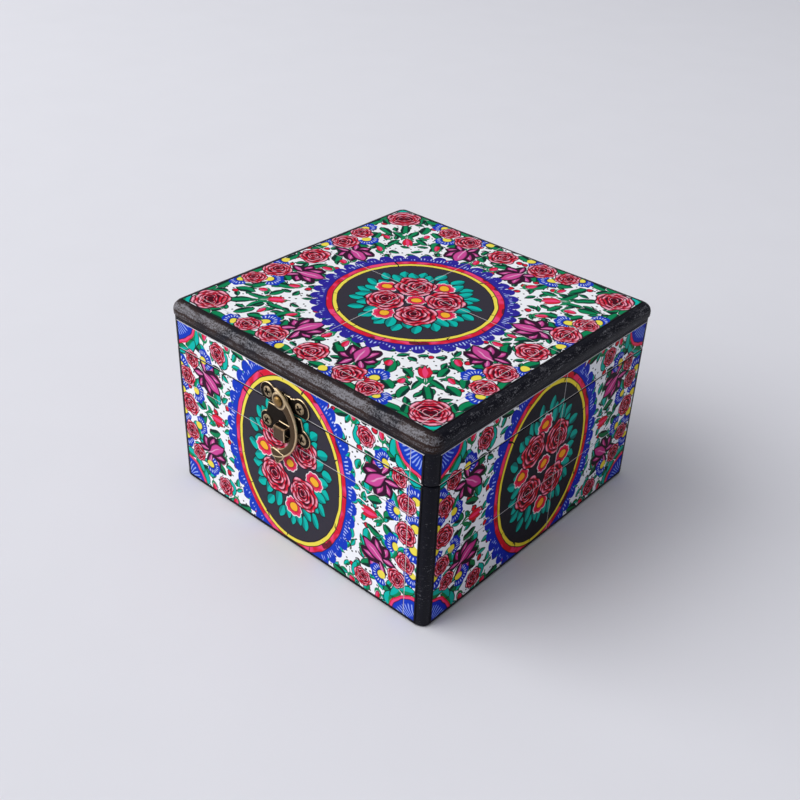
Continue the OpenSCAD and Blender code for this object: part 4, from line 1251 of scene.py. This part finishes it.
class JACKBOX_OT_latch(bpy.types.Operator):
    """Make the swan-necked hook, its rivet and screws, and soften the bronze plates"""

    bl_idname = "jackbox.latch"
    bl_label = "Hook latch"

    rivet = (-3.2, 74.7)
    eye = ((1.3, 1.95), (4.0, 1.95), (4.1, 2.3), (3.95, 2.75), (3.6, 3.05), (3.0, 3.1),
           (2.6, 2.85), (1.3, 2.8), (1.3, 1.95))
    eye_wear = (0, 0, 0.6, 1, 1, 0.5, 0, 0, 0)
    dome = ((0, 3.1), (2.25, 3.1), (2.3, 3.3), (2.2, 3.6), (1.9, 3.95), (1.4, 4.18), (0.7, 4.28),
            (0, 4.3))
    tab = ((-6.1, -25.6), (-5.2, -28.4), (-3.1, -30.6), (-1, -30.6), (1.2, -28.6), (2.5, -25.9),
           (-1.6, -24.9), (-4.4, -24.6))

    def on_face(self, x, up, depth):
        """Points on the front: across and up from the rivet, and out from the paper."""
        grids = np.broadcast_arrays(self.rivet[0] + x, FRONT_FACE - depth, self.rivet[1] + up)
        return np.stack(grids, -1)

    def crescent(self):
        """Between an outer circle of 18.2 and an inner one of 12: at each angle about a middle
        point the section runs from the inner edge to the outer, domed, with a raised outer rim.
        A section's rows are (share of the way out, depth, wear)."""
        way = around(1, np.radians(np.linspace(74, -82, 64)), 0)[:, :2]
        middle = np.array((-7.0, -12.5))
        near, far = (ray_length(way, np.array(centre) - middle, radius)[:, None]
                     for centre, radius in (((-6.2, -13.3), 12.0), ((-8.0, -11.6), 18.2)))
        share, depth, wear = np.array([
            (0.02, 1.95, 0), (0, 2.25, 0.6), (0.06, 2.5, 0.5), (0.2, 2.75, 0), (0.42, 2.9, 0),
            (0.6, 2.86, 0), (0.7, 2.7, 0), (0.76, 2.72, 0.2), (0.82, 3.0, 1), (0.88, 3.08, 1),
            (0.94, 3.02, 1), (0.99, 2.7, 1), (1.0, 2.2, 0.6), (0.97, 1.95, 0), (0.02, 1.95, 0)]).T
        reach = near + (far - near) * share
        x, up = (middle[k] + reach * way[:, k, None] for k in (0, 1))
        return Patch(self.on_face(x, up, depth), wear=np.broadcast_to(wear, x.shape), caps=True)

    def flat_tab(self, centre, circle, low, high, roll):
        """A flat form inside a ray outline, its upper edge rolled over and worn."""
        way, reach = ray_outline(np.array(centre), circle, self.tab)
        rows = [(1.0, 0, low, 0), (0, 0, low, 0.2), (0, 0, high - roll, 0.7)]
        rows += [(0, roll * (1 - math.cos(a)), high - roll + roll * math.sin(a), 1.0)
                 for a in np.radians((30, 60, 90))]
        rows += [(0, roll * 2.2, high, 0.1), (1.0, 0, high, 0)]
        shrink, inset, depth, wear = np.array(rows).T[..., None]
        far = np.maximum((reach[None] - inset) * (1 - shrink), 0)
        x, up = (centre[k] + far * way[:, k] for k in (0, 1))
        return Patch(self.on_face(x, up, depth), wear=np.broadcast_to(wear, x.shape))

    def screw(self, x, up, spin, radius=2.5, base=0.85, height=0.8):
        """A domed head: height falls with the square of the distance, less a cross cut with
        sloping sides, on a rim that turns down to the plate."""
        far = np.array([0, 0.08, 0.16, 0.24, 0.32, 0.4, 0.5, 0.6, 0.7, 0.8, 0.9, 0.96, 1, 1.0])
        grid = around(far[:, None] * radius, np.linspace(0, TURN, 73), 0)
        across, along = grid[..., 0], grid[..., 1]
        dome = base + height * np.sqrt(np.maximum(1 - (far * 0.93) ** 2, 0))[:, None]
        turn = math.radians(spin)
        p = np.abs(across * math.cos(turn) + along * math.sin(turn))
        q = np.abs(along * math.cos(turn) - across * math.sin(turn))
        slot, end = np.minimum(p, q) / 0.34, np.maximum(p, q) / (radius * 0.58)
        cut = np.clip(1.6 - slot, 0, 1) * np.clip((1.1 - end) * 6, 0, 1)
        depth = dome - cut * height * 0.75
        depth[-1] = base - 0.2
        wear = np.clip(0.9 - cut * 1.6, -0.6, 1)
        low = self.on_face(x + across[:1], up + along[:1], base - 0.2)
        grid = np.concatenate([self.on_face(x + across, up + along, depth), low])
        return Patch(grid, wear=np.concatenate([wear, wear[:1] * 0]))

    def execute(self, context):
        latch = context.scene.jackbox_latch
        dark = metal("Dark Bronze", latch.dark, latch.bronze, wear=0.02, raised=(3.4, 0.5))
        edges = metal("Worn Bronze Edge", latch.bronze, latch.worn, wear=0.75)
        hook_bronze = metal("Hook Bronze", latch.bronze, latch.worn, wear=0.0, attribute="wear")
        pale = metal("Worn Screws", latch.dark, latch.worn, wear=-0.12, attribute="wear")
        brass = metal("Rivet Brass", latch.dark, latch.rivet, wear=0.6)
        for node, body in (("latch_plate", "lid"), ("catch_plate", "case")):
            settle(softened(node, dark, edges, width=0.28), body, "antique_bronze", dark, node)
        centre = self.on_face(0, 0, 0)
        ring = lathe(self.eye, centre, axis="front")
        ring_wear = np.broadcast_to(np.array(self.eye_wear)[:, None], ring.shape[:2])
        hook = surface("swan_hook", self.crescent(), Patch(ring, wear=ring_wear),
                       self.flat_tab((-2.0, -27.6), (-2.05, -30.4, 1.35), low=1.95, high=3.0,
                                     roll=0.35))
        settle(hook, "latch_hook", "antique_bronze", hook_bronze, "latch_hook")
        rivet = surface("latch_rivet_head", lathe(self.dome, centre, axis="front"))
        settle(rivet, "lid", "worn_brass", brass)
        dress(brass, "latch_rivet")
        for node, body, spots in (
                ("latch_screws", "lid", ((-8.3, 0.1, 15), (10.3, 0.1, 30))),
                ("catch_screws", "case", ((-9.3, -14.1, 50), (11.3, -14.1, 70)))):
            heads = [self.screw(*spot) for spot in spots]
            settle(surface(node + "_heads", *heads), body, "worn_brass", pale, node)
        return {"FINISHED"}


class JACKBOX_OT_spring(bpy.types.Operator):
    """Make the coil spring and the gathered cloth sleeve round it"""

    bl_idname = "jackbox.spring"
    bl_label = "Spring and sleeve"

    def execute(self, context):
        bare = context.scene.jackbox_latch.steel
        steel = metal("Spring Steel", (0.1, 0.1, 0.11), bare, wear=0.35)
        turns, pitch, wire = 7, 1.7, 0.8
        turn = np.linspace(0, turns, turns * 40 + 1)
        last = np.maximum(1 - turn, turn - (turns - 1))
        radius = 16.5 + 3.5 * np.minimum(1, 1.6 * np.maximum(0, last))
        path = around(radius, TURN * turn, 6.8 + pitch * turn)
        coil = surface("wire_coil", Patch(tube(path, wire, (0, 0, 1), 10), caps=True))
        settle(coil, None, "spring_steel", steel, "coil_spring")
        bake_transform(coil)
        self.sleeve(context.scene.jackbox_toy)
        dress(steel, "spring_staples_floor", "spring_staples_cap")
        dress(bare_wood(context.scene.jackbox_case), "spring_cap", "neck_dowel")
        return {"FINISHED"}

    def sleeve(self, toy):
        """Six folds between an inner and an outer radius, with gathers that grow outwards: the
        radius is r + depth(1 - cos(360 s)) / 2 along the folds s, plus a small wave."""
        folds, inner, depth, stripes = 6, 24.2, 9.6, 12
        s = np.linspace(0, folds, folds * 14 + 1)[:, None]
        angle = np.linspace(0, TURN, 241)[None]
        fold = (1 - np.cos(TURN * s)) / 2
        gather = fold * (0.28 * np.sin(42 * angle) + 0.18 * np.sin(29 * angle + 1))
        height = 6.3 + s / folds * 16.0 + 0.16 * fold * np.sin(31 * angle + 2 * np.floor(s))
        points = around(inner + depth * fold + gather, angle, height)
        step = np.linalg.norm(np.diff(points[:, 0], axis=0), axis=1)
        along = np.concatenate([[0], np.cumsum(step)])
        wide = TURN * (inner + depth)
        uv = np.stack(np.broadcast_arrays(angle / TURN * wide, along[:, None]), -1)

        def striped(pen, thread):
            band = pen.calc("FRACT", pen.parts(thread)[0] / (wide / stripes))
            return pen.mix(toy.scarlet, toy.golden, pen.fade(abs(band - 0.5), 0.27, 0.24))

        skirt = surface("spring_sleeve_cloth", Patch(points, uv))
        settle(skirt, None, "sleeve_cloth", cloth("Sleeve Cotton", striped), "spring_sleeve")
        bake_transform(skirt)


class JACKBOX_OT_body(bpy.types.Operator):
    """Make the jester's stuffed body and arms, hands, ruff and button"""

    bl_idname = "jackbox.body"
    bl_label = "Body"

    def execute(self, context):
        toy = context.scene.jackbox_toy
        self.chest(toy)
        self.arm(toy, -1, "left", toy.royal)
        self.arm(toy, 1, "right", toy.scarlet)
        self.ruff(toy)
        middle = (0, -27.3, 26.6)
        wound = yarn_ball(middle, radius=3.1, thread=0.5, winds=6, loops=30, curl=0.5)
        button = surface("chest_button", wound, ball(middle, 2.4, rows=10, sides=16))
        wool = plain_felt("Golden Wool", toy.golden)
        settle(button, "jack", "pompom_wool", wool, "chest_pompom")
        return {"FINISHED"}

    def chest(self, toy):
        """A round cushion: as t goes from -90 to 90 degrees its radius is 23.6 cos(t)^0.42 and
        its height 29 + 5.9 sin(t)^0.9, and four seams, each a Gaussian, pull it in."""
        t = np.radians(np.linspace(-90, 90, 19))[:, None]
        angle = np.linspace(0, TURN, 97)[None]
        seam = 1 - 0.035 * np.exp(-(((angle * 4 / math.pi + 1) % 2 - 1) / 0.09) ** 2)
        radius = 23.6 * np.abs(np.cos(t)) ** 0.42 * seam
        radius[0], radius[-1] = 0, 0
        height = 29 + 5.9 * np.sign(np.sin(t)) * np.abs(np.sin(t)) ** 0.9
        chest = surface("stuffed_chest", around(radius, angle, height))
        swell(chest, voxel=1.5, pressure=3.0, limit=0.8)

        def harlequin(pen, thread):
            u, v, _ = pen.parts(thread)
            one, two = (pen.fade(pen.calc("FRACT", lean / 19.635), 0.49, 0.51)
                        for lean in (u + v * 1.2, u - v * 1.2))
            return pen.mix(toy.scarlet, toy.golden, abs(one - two))

        settle(chest, "jack", "chest_cloth", cloth("Chest Cotton", harlequin, uv=False), "chest")

    def arm(self, toy, side, label, colour):
        """A tube from the shoulder to the wrist, a millimetre slack, with creases round it, and
        a mitten of a ball and a thumb: each ray from the palm runs to the further surface."""
        t = np.linspace(0, 1, 61)[:, None]
        shoulder, wrist = np.array((side * 21.0, 0, 27.5)), np.array((side * 51.4, -16.0, 38.9))
        path = shoulder + (wrist - shoulder) * t - np.array((0, 0, 1.0)) * np.sin(math.pi * t)
        round_off = np.sqrt(1 - (1 - np.minimum(t, 1 - t) / 0.06).clip(0, 1) ** 2)
        crease = 1 + 0.045 * np.sin(t * 46) * np.sin(t * math.pi) + 0.03 * np.sin(t * 21 + 1)
        tubes = tube(path, ((5.0 - 0.9 * t) * crease * round_off).ravel(), (0, 0, 1), 32)
        uv = np.stack(np.broadcast_arrays(np.linspace(0, 30, 33)[None], t * 40), -1)
        arm = surface(f"stuffed_arm_{label}", Patch(tubes, uv))
        cotton = cloth("Arm Cotton " + label.title(), lambda pen, thread: colour)
        settle(arm, "jack", "chest_cloth", cotton, f"arm_{label}")
        grid = ball((0, 0, 0), 1.0, 40, 60)
        far = np.maximum(5.5, ray_length(grid, np.array((-side * 1.5, -3.2, 4.2)), 2.2))
        palm = (side * 54.0, -17, 40)
        mitten = surface(f"mitten_{label}", palm + grid * far[..., None])
        paint = gloss_paint("Hand Paint", toy.ivory)
        settle(mitten, "jack", "painted_head", paint, f"hand_{label}")

    def ruff(self, toy):
        """A collar whose height waves 18 times round: z = dish(r) + wave(r) sin(18 angle)."""
        angle = np.linspace(0, TURN, 361)[None]
        radius = np.linspace(4.2, 27.6, 25)[:, None]
        grown = (radius - 4.2) / 23.4
        dish = 36.5 + 1.5 * np.minimum(1, (radius / 14) ** 2)
        wave = 2.3 * grown**0.8 * np.sin(18 * angle) + 0.15 * grown * np.sin(54 * angle)
        points = around(radius, angle + 0.03 * wave, np.clip(dish + wave, 35.6, 40.4))

        def bordered(pen, thread):
            far = pen.length(thread)
            edge = pen.fade(far, 24.4, 24.8) * pen.fade(far, 26.8, 26.4)
            return pen.mix(toy.ivory, toy.royal, edge)

        collar = surface("pleated_ruff", Patch(points, points[..., :2]))
        settle(collar, "jack", "ruff_cloth", cloth("Ruff Linen", bordered, pitch=0.35), "ruff")


class JACKBOX_OT_head(bpy.types.Operator):
    """Make the painted head, nose, hair, and the three-horned cap with its bells"""

    bl_idname = "jackbox.head"
    bl_label = "Head and cap"

    def execute(self, context):
        toy = context.scene.jackbox_toy
        settle(surface("painted_head_ball", self.skull()), "jack", "painted_head",
               painted_face(toy), "head")
        lean = math.radians(8)
        tip = (0, -20 * math.cos(lean), HEAD[2] - 20 * math.sin(lean))
        nose = surface("round_nose", ball(tip, 3.75))
        settle(nose, "jack", "painted_nose", gloss_paint("Nose Paint", toy.scarlet), "nose")
        wool = plain_felt("Curled Wool", toy.hair)
        for side, label in ((-1, "left"), (1, "right")):
            centre = (side * 19.5, 2, 53)
            wound = yarn_ball(centre, radius=6.6, thread=0.72, winds=8, loops=64, curl=1.15)
            curls = surface(f"curls_{label}", wound, ball(centre, 4.9, rows=12, sides=20))
            settle(curls, "jack", "hair_wool", wool, f"hair_{label}")
        self.crown(toy)
        for label, way, reach, colour in (("left", (-1, 0.08, 0), 44, toy.scarlet),
                                          ("right", (1, 0.08, 0), 44, toy.royal),
                                          ("back", (0, 1, 0), 42, toy.golden)):
            self.horn(label, np.array(way), reach, colour)
        self.band(toy)
        brass = metal("Bell Brass", linear(120, 84, 30), linear(232, 190, 92), wear=0.4)
        dress(brass, "bells", "bell_pellets")
        return {"FINISHED"}

    def skull(self):
        """A ball of 18.95, fuller by up to 0.45 at two cheeks, where a Gaussian is added."""
        grid = ball((0, 0, 0), 1.0, 64, 96)
        full = sum(np.exp(-np.sum((grid - np.array((side, -0.8, -0.33))) ** 2, -1) / 0.06)
                   for side in (-0.5, 0.5))
        return grid * (18.95 + 0.45 * full)[..., None] + np.array(HEAD)

    def crown(self, toy):
        """A turned shell over the head, of felt in three colours with a dark seam in front."""
        angle = np.radians(np.linspace(14, 90, 20))
        outer, inner = (np.stack([size * np.cos(angle), HEAD[2] + size * np.sin(angle)], 1)
                        for size in (20.5, 19.3))
        outer[-1, 0], inner[-1, 0] = 0, 0
        shell = np.vstack([outer, inner[::-1], outer[:1]])

        def parted(pen, point, shade):
            x, y, _ = pen.parts(point)
            colour = pen.mix(toy.scarlet, toy.royal, pen.fade(x, -0.1, 0.1))
            back = pen.fade(y - abs(x), 4.9, 5.1)
            colour = pen.mix(colour, toy.golden, back)
            seam = pen.fade(abs(x), 0.5, 0.2) * (1 - back)
            colour = pen.mix(colour, (0.02, 0.01, 0.02), seam * 0.8)
            # darker where the felt's shade is low: partly painted shade in the low fibres, partly
            # uneven tone
            return pen.mix(colour, (0.03, 0.01, 0.01), pen.fade(shade, 0.55, 0.35) * 0.4)

        settle(surface("cap_crown", lathe(shell, sides=72)), "jack", "cap_felt",
               felt("Parti-coloured Felt", parted), "jester_cap")

    def horn(self, label, way, reach, colour):
        """A tube that narrows by 9 - 6.6 t^0.8 along reach sin(90 t) out and 22 t^1.8 down, less
        an arch of 1.5, creased across and rounded off at its end."""
        t = np.linspace(0, 1, 56)
        path = way * (reach * np.sin(math.pi / 2 * t))[:, None]
        path[:, 2] += 73.5 - 22 * t**1.8 + 1.5 * np.sin(math.pi * t)
        close = np.sqrt(1 - (1 - np.minimum(1, (1 - t) / 0.05)) ** 2)
        crease = 1 + 0.035 * np.sin(t * 34) * np.sin(t * math.pi)
        radius = (9 - 6.6 * t**0.8) * crease * close
        across = np.cross(way, (0, 0, 1.0))
        horn = surface(f"cap_horn_{label}", Patch(tube(path, radius, across, 32), caps=True))
        wool = plain_felt(f"Cap Felt {label.title()}", colour)
        settle(horn, "jack", "cap_felt", wool, "jester_cap")

    def band(self, toy):
        """A roll round the head, whose section is an oval, very slightly puffed 36 times round."""
        section = np.radians(np.linspace(0, 360, 19))[:, None]
        turn = np.linspace(0, TURN, 145)[None]
        puff = 1 + 0.004 * np.sin(36 * turn)
        ring = around((20.4 + 1.05 * np.cos(section)) * puff, turn, 59.4 + 1.5 * np.sin(section))
        settle(surface("cap_rolled_band", ring), "jack", "band_felt",
               plain_felt("Band Felt", toy.golden), "cap_band")


class JACKBOX_OT_stage(bpy.types.Operator):
    """Lay the pale floor, hang the soft lamps and set the camera"""

    bl_idname = "jackbox.stage"
    bl_label = "Stage"

    def execute(self, context):
        stage = context.scene.jackbox_stage
        x, y = np.meshgrid((-3000.0, 3000.0), (-3000.0, 3000.0), indexing="ij")
        floor = surface("floor_sheet", np.stack([x, y, 0 * x - 0.02], -1))

        def build(pen):
            fibre = pen.noise(pen.millimetres(), 0.02, 3)
            colour = pen.mix(stage.floor, darker(stage.floor, 0.97), fibre)
            return {"Base Color": colour, "Roughness": 0.9, "Specular IOR Level": 0.2}

        floor.data.materials.append(material("Floor Paper", build))
        self.world(stage)
        self.lamp("Key", stage.key, (-2.45, -2.45, 2.45), 4.4)
        self.lamp("Ceiling", stage.ceiling, (-0.3, 0.3, 2.2), 2.6)
        self.camera(context)
        return {"FINISHED"}

    def world(self, stage):
        """An even light from all round, and the plain backdrop that the camera sees."""
        world = bpy.data.worlds.new("Studio")
        world.use_nodes = True
        world.node_tree.nodes.clear()
        pen = Pen(world.node_tree)
        sky = pen.add("Background", {"Color": linear(236, 238, 246), "Strength": stage.fill})
        seen = pen.add("Background", {"Color": stage.backdrop, "Strength": 1.0})
        ray = pen.add("LightPath", {}, "Is Camera Ray")
        shown = pen.add("MixShader", (ray, sky, seen))
        pen.put(world.node_tree.nodes.new("ShaderNodeOutputWorld").inputs["Surface"], shown)
        bpy.context.scene.world = world

    def lamp(self, name, power, place, size):
        """A square lamp that faces the middle of the floor."""
        data = bpy.data.lights.new(name, "AREA")
        data.energy, data.size = power, size
        made = bpy.data.objects.new(name, data)
        made.location = place
        made.rotation_euler = (-Vector(place)).to_track_quat("-Z", "Y").to_euler()
        bpy.context.scene.collection.objects.link(made)

    def camera(self, context):
        """Turned about the upright axis, tipped down from level, and rolled a little."""
        place, (yaw, pitch, roll) = (0.264013, -0.313947, 0.305922), (0.7111, 0.5739, 0.0408)
        data = bpy.data.cameras.new("Camera")
        data.sensor_width, data.lens = 36, 47.506
        made = bpy.data.objects.new("Camera", data)
        made.matrix_world = (
            Matrix.Translation(place) @ Matrix.Rotation(yaw, 4, "Z")
            @ Matrix.Rotation(math.pi / 2 - pitch, 4, "X") @ Matrix.Rotation(roll, 4, "Z"))
        context.scene.collection.objects.link(made)
        context.scene.camera = made
        context.scene.view_settings.view_transform = "Standard"


OPERATORS = (JACKBOX_OT_stage, JACKBOX_OT_case, JACKBOX_OT_lid, JACKBOX_OT_paper,
             JACKBOX_OT_hinges, JACKBOX_OT_latch, JACKBOX_OT_spring, JACKBOX_OT_body,
             JACKBOX_OT_head)


class JACKBOX_PT_panel(bpy.types.Panel):
    """Lists the pieces of the jack in the box"""

    bl_idname = "JACKBOX_PT_panel"
    bl_label = "Jack in the Box"
    bl_space_type = "VIEW_3D"
    bl_region_type = "UI"
    bl_category = "Jack in the Box"

    def draw(self, context):
        for operator in OPERATORS:
            self.layout.operator(operator.bl_idname)


def register():
    for group in SETTINGS.values():
        bpy.utils.register_class(group)
    for name, group in SETTINGS.items():
        setattr(bpy.types.Scene, name, PointerProperty(type=group))
    for operator in (*OPERATORS, JACKBOX_PT_panel):
        bpy.utils.register_class(operator)


def unregister():
    for operator in (JACKBOX_PT_panel, *reversed(OPERATORS)):
        bpy.utils.unregister_class(operator)
    for name, group in SETTINGS.items():
        delattr(bpy.types.Scene, name)
        bpy.utils.unregister_class(group)


def main():
    """Makes every piece."""
    register()
    for operator in OPERATORS:
        group, name = operator.bl_idname.split(".")
        getattr(getattr(bpy.ops, group), name)()
    bpy.context.view_layer.update()


if __name__ == "__main__":
    main()
